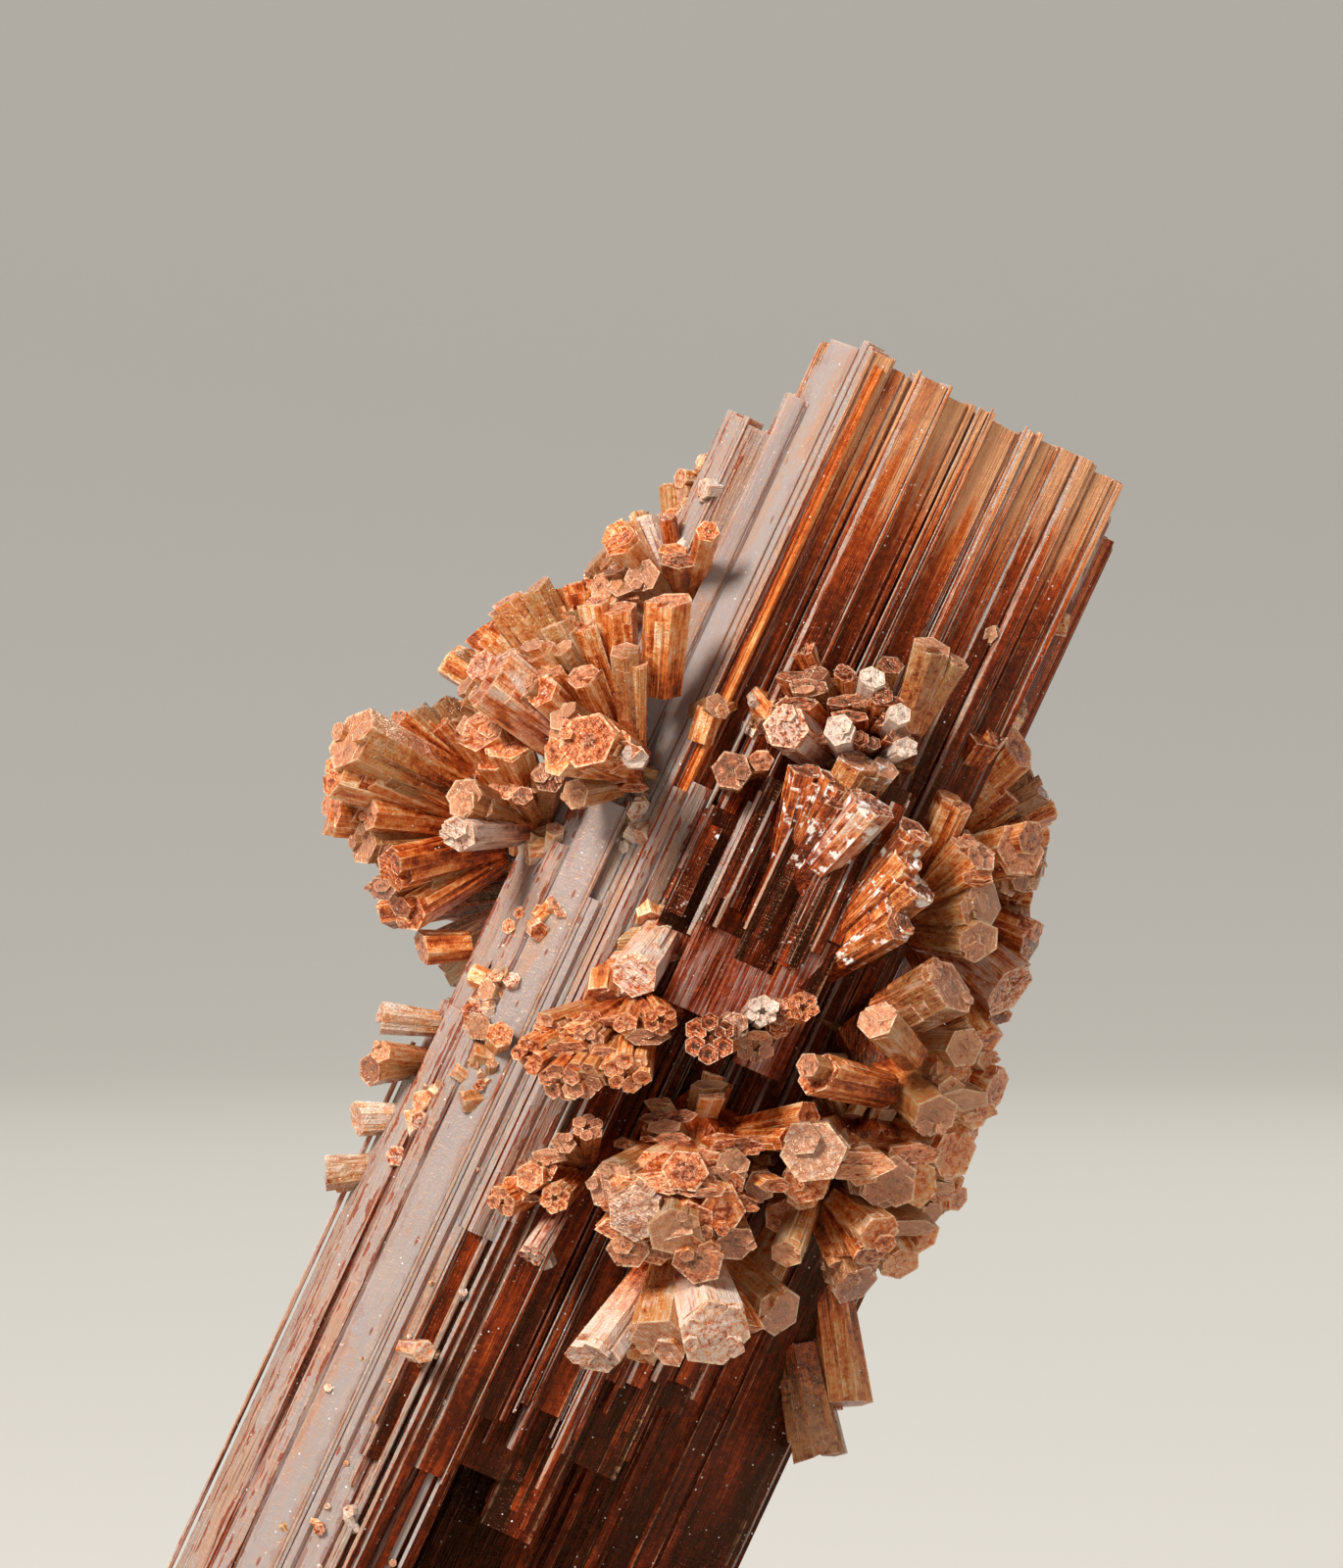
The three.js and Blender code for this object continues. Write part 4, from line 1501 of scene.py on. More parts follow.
    def _left_bundle(self) -> bpy.types.Object:
        """The lower left bundle, which reaches the floor.

        Returns:
            The piece.
        """
        growth = Growth("column_left")
        self._solid(growth, self.LEFT_BUNDLE, COLUMN_SUNK, self.left_end, Skin(0.5, 0.85))
        self._solid(growth, self.OUTER_LEFT, COLUMN_SUNK, self.outer_left_end, Skin(0.5, 0.9))
        pale_sides = (
            (Facet((-6.65, -0.6), (-6.3, -2.1)), 19.2, 0.7, 0.1),
            (Facet((-6.3, -2.1), (-5.3, -3.45)), 23.4, 0.55, 0.3),
            (Facet((-5.6, -3.4), (-3.9, -3.98)), 29.6, 0.6, 0.4),
            (Facet((-3.9, -3.98), (-2.3, -4.47)), 28.6, 0.6, 0.5),
        )
        for number, (facet, end, pale, left_milk_and_light) in enumerate(pale_sides):
            Ribbing(
                facet=facet,
                start=COLUMN_SUNK,
                end=end,
                widths=(0.16, 0.4),
                strips=(0.6, 1.3),
                strip_share=0.65,
                proud=(-0.02, 0.16),
                ragged=(0.0, 3.5),
                pale=pale,
                left_milk_and_light=left_milk_and_light,
                tone=0.6,
                seed=10 + number,
            ).build_into(growth)
        brown_sides = (
            (Facet((-2.3, -4.47), (-0.5, -3.6)), 20.0, 0.2, 1.0),
            (Facet((-0.5, -3.6), (-0.4, 2.2)), 18.0, 0.0, 0.0),
            (Facet((-0.4, 2.2), (-3.5, 3.4)), 27.6, 0.35, 0.5),
            (Facet((-3.5, 3.4), (-6.2, 1.6)), 27.2, 0.5, 0.4),
            (Facet((-6.2, 1.6), (-6.7, -0.6)), 22.0, 0.6, 0.3),
        )
        for number, (facet, end, pale, left_milk_and_light) in enumerate(brown_sides):
            Ribbing(
                facet=facet,
                start=COLUMN_SUNK,
                end=end,
                widths=(0.16, 0.5),
                strips=(0.3, 0.7),
                strip_share=0.4,
                proud=(-0.1, 0.3),
                ragged=(0.0, 4.0),
                pale=pale,
                left_milk_and_light=left_milk_and_light,
                tone=0.4,
                seed=30 + number,
            ).build_into(growth)
        return growth.join()

    def _set_back(self) -> bpy.types.Object:
        """The prism set back behind the main one, with the stubs at its foot.

        Returns:
            The piece.
        """
        growth = Growth("column_back")
        # Dark red-brown: partly the stone's deep stain, partly painted shade in the recess behind the main
        # prism
        ribs = Ribbing(
            facet=BLANK,
            start=COLUMN_SUNK,
            end=self.back_end + 0.2,
            widths=(0.2, 0.6),
            strips=(0.5, 1.2),
            strip_share=0.35,
            proud=(-0.1, 0.12),
            ragged=(0.0, 3.0),
            pale=0.0,
            left_milk_and_light=0.15,
            tone=0.12,
            seed=10,
        )
        self._ribbed_prism(growth, self.SET_BACK, ribs, Skin(0.1, 0.0))
        self._broken_end(growth, self.SET_BACK, self.back_end, Skin(0.3, 0.0, fade=0.3), 71)
        for number, (outline, end) in enumerate(FOOT_STUBS):
            stub_ribs = replace(ribs, end=end, ragged=(0.0, 1.0), tone=0.4, seed=40 + number)
            self._ribbed_prism(growth, outline, stub_ribs, Skin(0.3, 0.1))
            self._broken_end(growth, outline, end - 0.3, Skin(0.4, 0.1, fade=0.3), 72 + number)
        return growth.join()


# Ribbed blocks in front of the fluted face, under the crown: left, right, front, both ends along the axis
TERRACE_BLOCKS = (
    (-1.7, -0.5, -5.1, 24.2, 30.6),
    (-0.6, 0.9, -5.7, 24.4, 31.9),
    (0.8, 2.2, -6.1, 24.0, 32.6),
    (2.1, 3.6, -6.3, 23.6, 33.4),
)

# Stands in for the facet of ribs that go round a whole prism
BLANK = Facet((0.0, 0.0), (1.0, 0.0))

# Strips of the pale face: both edges as shares of its width, how proud, top along the axis, how pale, shade
PALE_STRIPS = (
    (-0.02, 0.17, 0.03, 43.7, 0.85, 0.6),
    (0.16, 0.70, 0.06, 44.6, 1.0, 0.6),
    (0.70, 0.735, 0.01, 44.3, 0.0, 0.3),
    (0.73, 0.83, 0.05, 44.9, 0.95, 0.6),
    (0.83, 0.86, 0.00, 44.5, 0.1, 0.4),
    (0.855, 0.96, 0.05, 44.8, 0.8, 0.7),
)

FACE_LEFT = (-3.0, -4.6)
FACE_RIGHT = (5.5, -1.4)


def face_depth(across: float) -> float:
    """Depth of the fluted face at a place across the column."""
    share = (across - FACE_LEFT[0]) / (FACE_RIGHT[0] - FACE_LEFT[0])
    return between(FACE_LEFT[1], FACE_RIGHT[1], share)


# Flutes of the main prism: left, right, how proud, both ends along the axis, how pale at the top
FLUTES = (
    (-3.1, -2.3, 0.10, 7.0, 44.7, 0.30),
    (-2.3, -1.6, -0.10, 7.0, 44.5, 0.00),
    (-1.6, -0.5, 0.30, 6.8, 44.7, 0.60),
    (-0.5, 0.5, 0.05, 8.4, 44.5, 0.10),
    (0.5, 1.0, 0.35, 9.4, 44.6, 0.30),
    (1.0, 2.0, 0.15, 10.6, 44.4, 0.40),
    (2.0, 2.6, 0.40, 8.8, 44.6, 0.10),
    (2.6, 3.9, 0.20, 11.6, 44.5, 0.50),
    (3.9, 4.5, 0.40, 13.4, 44.5, 0.60),
    (4.5, 5.5, 0.20, 12.6, 44.3, 0.50),
)

# Narrow prisms beside the main one: outline, both ends along the axis, how pale
SIDE_PRISMS = (
    (((-4.9, -1.9), (-4.2, -3.2), (-3.6, 1.6), (-4.6, 1.2)), 24.5, 42.7, 0.9),
    (((-6.3, -1.2), (-5.6, -2.2), (-4.1, -2.2), (-4.0, 1.4), (-5.9, 1.0)), 26.0, 41.5, 0.7),
    (((-6.0, -1.0), (-4.4, -1.4), (-4.2, 2.6), (-5.4, 1.8)), 24.0, 37.2, 0.4),
    (((-3.6, 2.2), (1.0, 4.4), (0.2, 5.7), (-3.4, 4.3)), 10.0, 41.6, 0.2),
    (((1.4, 4.2), (5.4, 2.2), (6.3, 3.5), (2.2, 5.8)), 14.0, 43.0, 0.3),
    (((4.9, -1.0), (5.7, -0.4), (5.8, 1.6), (5.0, 2.2)), 40.6, 43.5, 0.9),
)

# Blocks that step down under the main prism: left, right, front, back, lower end
STEP_BLOCKS = (
    (-0.8, 1.25, -3.2, 2.0, 9.0),
    (1.1, 2.75, -2.7, 2.4, 7.6),
    (2.55, 4.3, -2.2, 2.8, 10.4),
    (4.1, 5.3, -1.6, 2.2, 13.0),
)

FOOT_STUBS = (
    (((8.6, 0.4), (11.9, 0.9), (12.3, 3.6), (9.0, 4.6)), 8.7),
    (((11.3, 0.1), (13.7, 0.8), (14.0, 2.6), (11.8, 3.4)), 7.5),
    (((9.4, 3.9), (12.4, 3.2), (12.8, 5.2), (10.2, 6.2)), 7.0),
)

# Sprays, by the piece that they belong to. A tip is x, y, z, width and, where it is milky, how pale.
SPRAY_PIECES: dict[str, tuple[Spray, ...]] = {
    "spray_left": (
        Spray(
            seat=(-4.2, 1.0, 27.2),
            number=0,
            core=3.2,
            infill=44,
            tone=0.5,
            tips=(
                Tip(-9.7, -2.6, 30.2, 2.3), Tip(-10.2, -2.2, 29.0, 1.6), Tip(-10.3, -0.4, 27.9, 1.8),
                Tip(-8.5, -0.6, 30.7, 1.3), Tip(-7.9, 0.3, 31.0, 1.2), Tip(-7.2, 1.2, 31.2, 1.2),
                Tip(-6.5, 1.8, 31.2, 1.2), Tip(-6.0, -1.2, 30.7, 1.5), Tip(-9.3, 1.4, 28.8, 1.7),
                Tip(-8.6, 1.4, 26.9, 1.6), Tip(-9.4, -1.4, 27.0, 1.5), Tip(-8.4, -2.4, 26.2, 1.6),
                Tip(-8.0, -2.0, 24.9, 1.4),
            ),
        ),
        Spray(
            seat=(-3.9, -1.4, 27.4),
            number=1,
            infill=8,
            tone=0.4,
            tips=(
                Tip(-6.4, -5.4, 27.3, 1.3, 0.7), Tip(-5.7, -3.6, 30.5, 1.9), Tip(-4.9, -3.4, 28.8, 1.5),
                Tip(-3.7, -4.6, 29.0, 1.1),
            ),
        ),
    ),
    "spray_shoulder": (
        Spray(
            seat=(-0.9, -0.5, 28.9),
            number=2,
            core=3.6,
            infill=30,
            tone=0.5,
            tips=(
                Tip(-6.8, 0.3, 32.6, 1.4), Tip(-5.9, 0.8, 33.5, 1.4), Tip(-4.9, -0.8, 34.3, 1.8),
                Tip(-4.2, -1.2, 34.8, 1.4), Tip(-2.6, -1.2, 34.9, 1.5), Tip(-5.0, 1.6, 33.4, 1.5),
                Tip(-6.2, -1.8, 31.8, 1.8), Tip(-3.6, -0.2, 34.6, 1.4),
            ),
        ),
        Spray(
            seat=(-1.2, -3.2, 28.8),
            number=3,
            core=2.0,
            infill=14,
            tone=0.65,
            tips=(
                Tip(-5.4, -5.0, 32.0, 2.4, 0.5), Tip(-3.9, -6.0, 31.6, 1.3, 0.4),
                Tip(-3.5, -4.6, 33.6, 1.5, 0.3), Tip(-2.3, -4.6, 34.2, 1.2), Tip(-1.6, -5.0, 34.1, 1.2),
                Tip(-2.9, -5.6, 28.5, 1.2),
            ),
        ),
        Spray(
            seat=(-1.0, -4.4, 28.8),
            number=4,
            tone=0.7,
            tips=(Tip(-1.4, -6.2, 32.8, 1.0, 0.3), Tip(-1.0, -6.2, 32.4, 0.7)),
        ),
        Spray(
            seat=(-1.0, -3.6, 29.4),
            number=5,
            infill=14,
            tone=0.75,
            tips=(
                Tip(-2.5, -7.8, 30.1, 2.1), Tip(-1.1, -7.8, 29.6, 0.9, 0.9), Tip(-3.4, -6.6, 29.6, 1.3),
                Tip(-3.2, -6.4, 30.8, 1.2),
            ),
        ),
        Spray(
            seat=(-0.4, -4.2, 30.4),
            number=6,
            tone=0.8,
            tips=(Tip(-0.1, -5.9, 34.3, 1.6, 0.3),),
            habit=Habit.STOUT,
        ),
        Spray(
            seat=(0.4, -0.8, 33.6),
            number=7,
            core=2.0,
            infill=34,
            tone=0.6,
            tips=(
                Tip(-1.5, -3.2, 36.1, 1.3), Tip(-2.3, -0.8, 35.7, 1.4), Tip(-1.7, 0.8, 36.5, 1.3),
                Tip(-0.7, -0.4, 36.9, 1.1, 0.8), Tip(0.1, 0.4, 37.9, 1.0), Tip(0.8, -0.2, 38.3, 0.9),
                Tip(-2.5, 1.2, 34.8, 1.4), Tip(-0.9, -3.4, 35.1, 1.2), Tip(-1.9, -2.4, 34.7, 1.6),
                Tip(1.1, -4.8, 36.4, 0.8),
            ),
        ),
    ),
    "spray_crown": (
        Spray(
            seat=(5.5, -2.0, 29.1),
            number=8,
            core=2.8,
            infill=30,
            tone=-0.15,
            frost_and_glint=0.12,
            shared_pale=0.25,
            tips=(
                Tip(6.0, -6.5, 32.0, 0.9, 0.95), Tip(6.8, -6.8, 30.9, 0.8, 0.9),
                Tip(5.0, -7.0, 30.4, 1.0, 0.9), Tip(7.0, -6.6, 29.9, 0.8, 0.9),
                Tip(3.4, -6.5, 30.5, 1.5, 0.6), Tip(4.3, -5.2, 32.1, 0.9), Tip(3.9, -4.2, 32.9, 0.9),
                Tip(6.6, -4.4, 32.4, 0.9),
            ),
        ),
        Spray(
            seat=(6.8, -3.4, 29.5),
            number=9,
            infill=1,
            tone=0.7,
            tips=(Tip(7.8, -5.0, 32.9, 1.4, 0.4), Tip(8.6, -4.8, 32.5, 0.9)),
        ),
        Spray(
            seat=(2.9, -4.2, 24.6),
            number=10,
            infill=14,
            tone=0.12,
            frost_and_glint=0.56,
            tips=(
                Tip(4.0, -6.6, 29.2, 1.2), Tip(4.9, -6.6, 28.9, 1.3), Tip(5.6, -6.4, 29.5, 1.3),
                Tip(6.4, -6.2, 29.3, 1.0), Tip(6.0, -7.4, 28.2, 1.7, 0.5),
            ),
        ),
        Spray(
            seat=(3.6, -3.8, 22.6),
            number=11,
            infill=16,
            tone=0.18,
            frost_and_glint=0.52,
            tips=(
                Tip(7.3, -6.8, 27.4, 1.4), Tip(7.0, -7.0, 26.6, 1.2), Tip(7.4, -6.9, 25.7, 1.4),
                Tip(6.8, -7.0, 24.6, 1.2),
            ),
        ),
        Spray(seat=(1.9, -2.8, 28.9), number=12, tips=(Tip(1.8, -6.5, 29.2, 1.3), Tip(2.7, -6.2, 29.5, 0.8))),
    ),
    "spray_right": (
        Spray(
            seat=(6.5, 1.0, 25.8),
            number=13,
            core=3.2,
            infill=60,
            aside=0.9,
            tone=0.26,
            tips=(
                Tip(9.6, -1.8, 30.4, 1.5), Tip(10.6, -0.8, 29.9, 1.7), Tip(11.2, 0.6, 28.8, 1.6),
                Tip(11.5, 1.6, 28.1, 1.4), Tip(11.4, 0.6, 26.2, 1.6), Tip(10.6, -2.2, 26.8, 2.0),
                Tip(11.0, -0.8, 24.0, 1.8), Tip(10.3, -1.4, 22.5, 2.1, 0.5), Tip(9.5, -0.8, 20.9, 1.6),
                Tip(10.4, 2.4, 30.2, 1.4), Tip(9.6, 1.4, 31.0, 1.4),
            ),
        ),
        Spray(
            seat=(6.8, -2.8, 24.4),
            number=14,
            core=1.8,
            infill=12,
            tone=0.4,
            tips=(
                Tip(9.4, -5.2, 25.3, 1.7, 0.3), Tip(9.2, -5.8, 24.1, 1.5, 0.3), Tip(9.2, -4.4, 26.2, 1.6),
                Tip(8.5, -4.6, 28.3, 1.3),
            ),
        ),
        Spray(
            seat=(5.8, -4.2, 21.4),
            number=15,
            tone=0.6,
            tips=(Tip(8.3, -6.8, 22.8, 2.1, 0.4),),
            habit=Habit.STOUT,
        ),
    ),
    "belt_right": (
        Spray(
            seat=(5.4, -0.9, 21.0),
            number=16,
            core=4.2,
            infill=40,
            aside=0.8,
            tone=0.8,
            tips=(
                Tip(7.9, -6.4, 18.9, 1.6), Tip(9.8, -3.4, 19.5, 1.7), Tip(9.0, -2.8, 18.3, 1.6),
                Tip(8.8, -5.2, 20.9, 1.5),
            ),
        ),
        Spray(
            seat=(7.6, -4.8, 20.2),
            number=17,
            tone=0.8,
            tips=(Tip(6.1, -7.6, 21.8, 1.4, 0.35),),
            habit=Habit.STOUT,
        ),
        Spray(
            seat=(7.3, -4.4, 19.4),
            number=18,
            infill=2,
            tone=0.7,
            tips=(Tip(4.3, -8.0, 20.2, 1.5), Tip(4.0, -8.6, 20.5, 0.9)),
        ),
        Spray(
            seat=(4.9, -0.9, 18.2),
            number=19,
            core=4.4,
            infill=52,
            aside=0.8,
            tone=0.9,
            tips=(
                Tip(8.5, -3.6, 17.8, 2.0), Tip(8.5, -2.4, 16.4, 1.6), Tip(4.2, -8.2, 17.9, 2.1, 0.5),
                Tip(7.4, -5.0, 16.8, 1.7), Tip(7.6, -2.6, 15.0, 1.5), Tip(6.9, -3.8, 14.3, 1.4),
                Tip(3.4, -7.4, 14.8, 1.1),
            ),
        ),
        Spray(
            seat=(4.6, -3.6, 16.6),
            number=20,
            infill=3,
            tone=0.6,
            tips=(Tip(5.5, -5.8, 13.8, 1.6, 0.4), Tip(6.2, -6.6, 15.4, 1.5, 0.3)),
        ),
    ),
    "belt_middle": (
        Spray(
            seat=(0.6, -2.6, 18.0),
            number=21,
            core=4.2,
            infill=84,
            tone=0.65,
            habit=Habit.STOUT,
            tips=(
                Tip(-1.8, -8.6, 16.9, 1.6, 0.4), Tip(-1.1, -9.2, 16.1, 1.8, 0.6), Tip(-1.3, -8.6, 15.0, 1.4),
                Tip(0.4, -9.5, 17.4, 1.5), Tip(0.1, -9.5, 15.6, 1.8, 0.3), Tip(1.8, -8.6, 17.5, 1.2),
                Tip(1.5, -9.2, 16.2, 1.5), Tip(0.8, -9.0, 14.7, 1.6), Tip(1.9, -8.8, 15.2, 1.4),
                Tip(4.1, -7.0, 18.9, 1.1),
            ),
        ),
        Spray(
            seat=(0.4, -4.4, 15.4),
            number=22,
            infill=8,
            tone=0.75,
            habit=Habit.STOUT,
            tips=(
                Tip(-2.3, -7.6, 11.9, 1.8, 0.7), Tip(1.3, -9.0, 12.6, 2.4, 0.7),
                Tip(3.2, -6.8, 13.1, 1.7, 0.3), Tip(-0.9, -5.8, 11.7, 1.1),
            ),
        ),
    ),
    "belt_left": (
        Spray(
            seat=(-0.9, -3.0, 22.5),
            number=23,
            core=2.4,
            infill=30,
            tone=0.5,
            habit=Habit.ROSETTE,
            tips=(
                Tip(-4.3, -7.0, 20.7, 1.3), Tip(-3.3, -7.6, 19.9, 1.6), Tip(-2.5, -7.4, 21.1, 1.1, 0.4),
                Tip(-1.3, -8.2, 20.2, 1.5), Tip(-0.3, -8.2, 21.8, 1.1), Tip(-3.8, -6.4, 21.5, 1.1),
            ),
        ),
        Spray(
            seat=(0.1, -3.4, 24.9),
            number=24,
            tips=(Tip(-1.1, -6.2, 23.1, 1.6, 0.7),),
            habit=Habit.STOUT,
            tone=0.9,
        ),
        Spray(
            seat=(2.1, -2.6, 21.3),
            number=25,
            infill=12,
            tone=0.4,
            habit=Habit.ROSETTE,
            tips=(
                Tip(1.1, -9.0, 21.3, 1.6), Tip(2.7, -8.5, 22.1, 1.0, 0.9), Tip(3.9, -8.4, 22.2, 1.0),
                Tip(2.5, -7.5, 21.0, 1.2),
            ),
        ),
        Spray(
            seat=(-2.6, -2.8, 17.2),
            number=26,
            infill=8,
            tone=0.5,
            habit=Habit.ROSETTE,
            tips=(
                Tip(-4.3, -6.2, 17.3, 0.9), Tip(-5.1, -6.0, 16.3, 1.1), Tip(-4.2, -6.2, 14.7, 0.9, 0.6),
                Tip(-2.5, -7.0, 18.6, 1.0),
            ),
        ),
    ),
    "edge_crystals": (
        Spray(seat=(-5.6, -0.8, 23.9), number=27, tips=(Tip(-7.6, -1.5, 23.8, 1.3),)),
        Spray(seat=(-6.4, -1.2, 21.4), number=28, tone=0.9, tips=(Tip(-8.8, -2.0, 21.7, 1.3, 0.55),)),
        Spray(
            seat=(-7.0, -0.8, 20.4),
            number=29,
            tips=(Tip(-9.2, -1.5, 20.1, 1.2), Tip(-8.8, -2.8, 20.7, 0.8)),
        ),
        Spray(seat=(-7.6, -0.8, 18.6), number=30, tone=0.9, tips=(Tip(-9.6, -1.2, 18.6, 1.2, 0.55),)),
        Spray(seat=(-8.2, -0.6, 17.1), number=31, tone=0.8, tips=(Tip(-10.4, -1.0, 16.9, 1.3, 0.5),)),
        Spray(seat=(-8.6, -2.8, 11.8), number=32, tone=0.8, tips=(Tip(-7.4, -5.4, 11.8, 0.8, 0.6),)),
        Spray(seat=(4.6, 1.4, 15.0), number=33, tips=(Tip(5.35, 1.2, 9.7, 1.8),), habit=Habit.STOUT),
        Spray(seat=(3.6, 1.2, 13.0), number=34, tips=(Tip(4.5, 0.9, 8.3, 1.8),), habit=Habit.STOUT),
        Spray(
            seat=(-1.0, 2.2, 4.6),
            number=35,
            infill=4,
            tips=(Tip(4.6, 0.4, 1.6, 1.8), Tip(5.2, 2.6, 0.8, 2.0), Tip(4.4, 4.8, 1.4, 1.8)),
        ),
        Spray(
            seat=(-2.4, 1.6, 4.2),
            number=36,
            infill=6,
            tips=(
                Tip(-4.6, -4.6, 0.9, 2.0), Tip(-2.0, -5.0, 0.6, 2.1), Tip(0.8, -4.8, 0.9, 2.0),
                Tip(3.2, -3.4, 0.6, 2.1),
            ),
        ),
    ),
}


@dataclass(frozen=True)
class CrustPatch:
    """A patch of grains and small crystals on the front of the column."""

    across: float
    along: float
    reach: Point
    count: int
    size: Point
    pale: float = 0.4
    tone: float = 0.7

    def build_into(self, growth: Growth) -> None:
        """Adds the grains, each at its own angle and half sunk into the column.

        Args:
            growth: where they go.
        """
        chance = random.Random(round(100 * self.across + 7 * self.along))
        outward = STANDING.to_3x3() @ front_outward(self.across, self.along)
        for _ in range(self.count):
            across = self.across + chance.gauss(0.0, 0.5) * self.reach[0]
            along = self.along + chance.gauss(0.0, 0.5) * self.reach[1]
            size = between(*self.size, chance.random() ** 2)
            place = STANDING @ Vector((across, front_depth(across, along), along))
            stray = Vector([chance.uniform(-0.9, 0.9) for _ in range(3)])
            heading = (outward + stray).normalized()
            prism = hexagonal_prism(size / 2, -size, size * chance.uniform(0.3, 0.9))
            turn = heading.to_track_quat("Z", "Y").to_matrix().to_4x4()
            placement = Matrix.Translation(place) @ turn @ Matrix.Rotation(chance.uniform(0.0, 1.0), 4, "Z")
            skin = Skin(
                tone=min(1.0, max(0.0, self.tone + chance.uniform(-0.4, 0.4))),
                pale=min(1.0, self.pale * chance.uniform(0.3, 1.7)),
                clear=chance.random(),
                frost_and_glint=0.3 * self.pale,
            )
            growth.add(prism, placement, skin, chance.randrange(SEED_LIMIT))


# Front of the column as corners across and in depth: the bundle below, the main prism above it
BUNDLE_FRONT = (
    (-6.6, -0.8), (-6.3, -2.1), (-5.3, -3.4), (-3.9, -3.98), (-2.4, -4.5), (-0.5, -3.6), (3.0, -2.2),
)
MAIN_FRONT = ((-6.3, -0.6), (-5.6, -2.1), (-4.6, -2.4), (-2.95, -4.62), (5.5, -1.4), (5.7, 1.5))


def front_corners(across: float, along: float) -> tuple[Point, Point]:
    """The two corners of the column's front on either side of a place.

    Args:
        across: place across the column.
        along: place along its axis.

    Returns:
        The corner to the left and the one to the right.
    """
    corners = BUNDLE_FRONT if along < 27.5 and across < -1.0 else MAIN_FRONT
    for one, other in zip(corners, corners[1:]):
        if across <= other[0]:
            return one, other
    return corners[-2], corners[-1]


def front_depth(across: float, along: float) -> float:
    """Depth of the column's front at a place across and along it.

    Args:
        across: place across the column.
        along: place along its axis.

    Returns:
        Its depth in the column's own frame.
    """
    one, other = front_corners(across, along)
    share = min(1.0, max(0.0, (across - one[0]) / (other[0] - one[0])))
    return between(one[1], other[1], share)


def front_outward(across: float, along: float) -> Vector:
    """The direction that the column's front faces at a place, in the column's own frame."""
    one, other = front_corners(across, along)
    return Vector((other[1] - one[1], one[0] - other[0], 0.0)).normalized()


CRUST = (
    CrustPatch(-3.7, 28.6, (0.9, 0.5), 26, (0.25, 0.8), 0.9, 0.8),
    CrustPatch(-4.6, 29.2, (0.8, 0.5), 30, (0.3, 1.0), 0.6, 0.8),
    CrustPatch(-6.1, 27.2, (0.4, 1.4), 18, (0.3, 0.8), 0.5, 0.8),
    CrustPatch(-6.0, 38.4, (0.4, 2.0), 14, (0.3, 0.7), 0.6, 0.8),
    CrustPatch(-5.1, 25.0, (0.5, 0.5), 8, (0.4, 0.8), 0.3, 0.6),
    CrustPatch(-1.6, 26.0, (0.6, 0.9), 16, (0.4, 1.2), 0.4, 0.9),
    CrustPatch(-1.9, 24.4, (0.9, 0.7), 18, (0.4, 1.2), 0.6, 0.8),
    CrustPatch(-5.6, 18.6, (0.4, 1.2), 16, (0.25, 0.7), 0.35, 0.8),
    CrustPatch(-5.3, 22.2, (0.35, 1.6), 26, (0.3, 1.0), 0.4, 0.8),
    CrustPatch(-4.6, 20.0, (0.4, 1.2), 14, (0.3, 0.9), 0.3, 0.8),
    CrustPatch(-0.9, 15.8, (0.5, 0.4), 9, (0.3, 0.7), 0.9, 0.8),
    CrustPatch(-1.3, 10.8, (0.4, 0.6), 8, (0.2, 0.5), 0.9, 0.9),
    CrustPatch(-0.9, 33.4, (0.9, 0.6), 26, (0.3, 0.9), 0.6, 0.4),
    CrustPatch(1.4, 33.8, (1.3, 0.6), 26, (0.4, 1.0), 0.2, 0.2),
    CrustPatch(-2.8, 32.7, (0.3, 0.3), 4, (0.5, 0.8), 0.1, 0.7),
    CrustPatch(3.8, 38.5, (0.05, 0.05), 2, (0.5, 0.7), 0.2, 0.8),
    CrustPatch(5.6, 36.6, (0.1, 0.4), 5, (0.5, 0.9), 0.3, 0.8),
    CrustPatch(5.7, 39.8, (0.1, 0.2), 4, (0.4, 0.7), 0.2, 0.8),
    CrustPatch(-3.2, 12.6, (1.6, 3.0), 18, (0.15, 0.4), 0.5, 0.7),
    CrustPatch(-3.0, 6.0, (1.8, 2.5), 16, (0.15, 0.4), 0.5, 0.7),
)


@dataclass(frozen=True)
class FarFan:
    """A fan of crystals on the side turned away from the camera."""

    seat: Place
    toward: Place
    reach: float
    count: int
    seed: int
    spread: float = 0.85
    widths: Point = (1.1, 2.0)

    def build_into(self, growth: Growth) -> None:
        """Adds the crystals, spread evenly round the fan's own direction.

        Args:
            growth: where they go.
        """
        draws = Repeatable(self.seed)
        middle = Vector(self.toward).normalized()
        side = Vector((0.0, 0.0, 1.0)).cross(middle).normalized()
        over = middle.cross(side)
        golden_angle = math.pi * (3.0 - math.sqrt(5.0))
        tips = []
        for index in range(self.count):
            away = self.spread * math.sqrt(index / self.count)
            around = index * golden_angle + 0.4 * draws.draw()
            heading = (middle + side * away * math.cos(around) + over * away * math.sin(around)).normalized()
            length = self.reach * between(0.78, 1.05, draws.draw())
            width = between(*self.widths, draws.draw())
            place = Vector(self.seat) + heading * length
            tips.append(Tip(place.x, place.y, place.z, width))
        for index, tip in enumerate(tips):
            CrystalForm(self.seat, tip, self.seed * 100 + index).build_into(growth)
        Spray(self.seat, tuple(tips), self.seed, infill=5 * self.count).fill_into(growth)


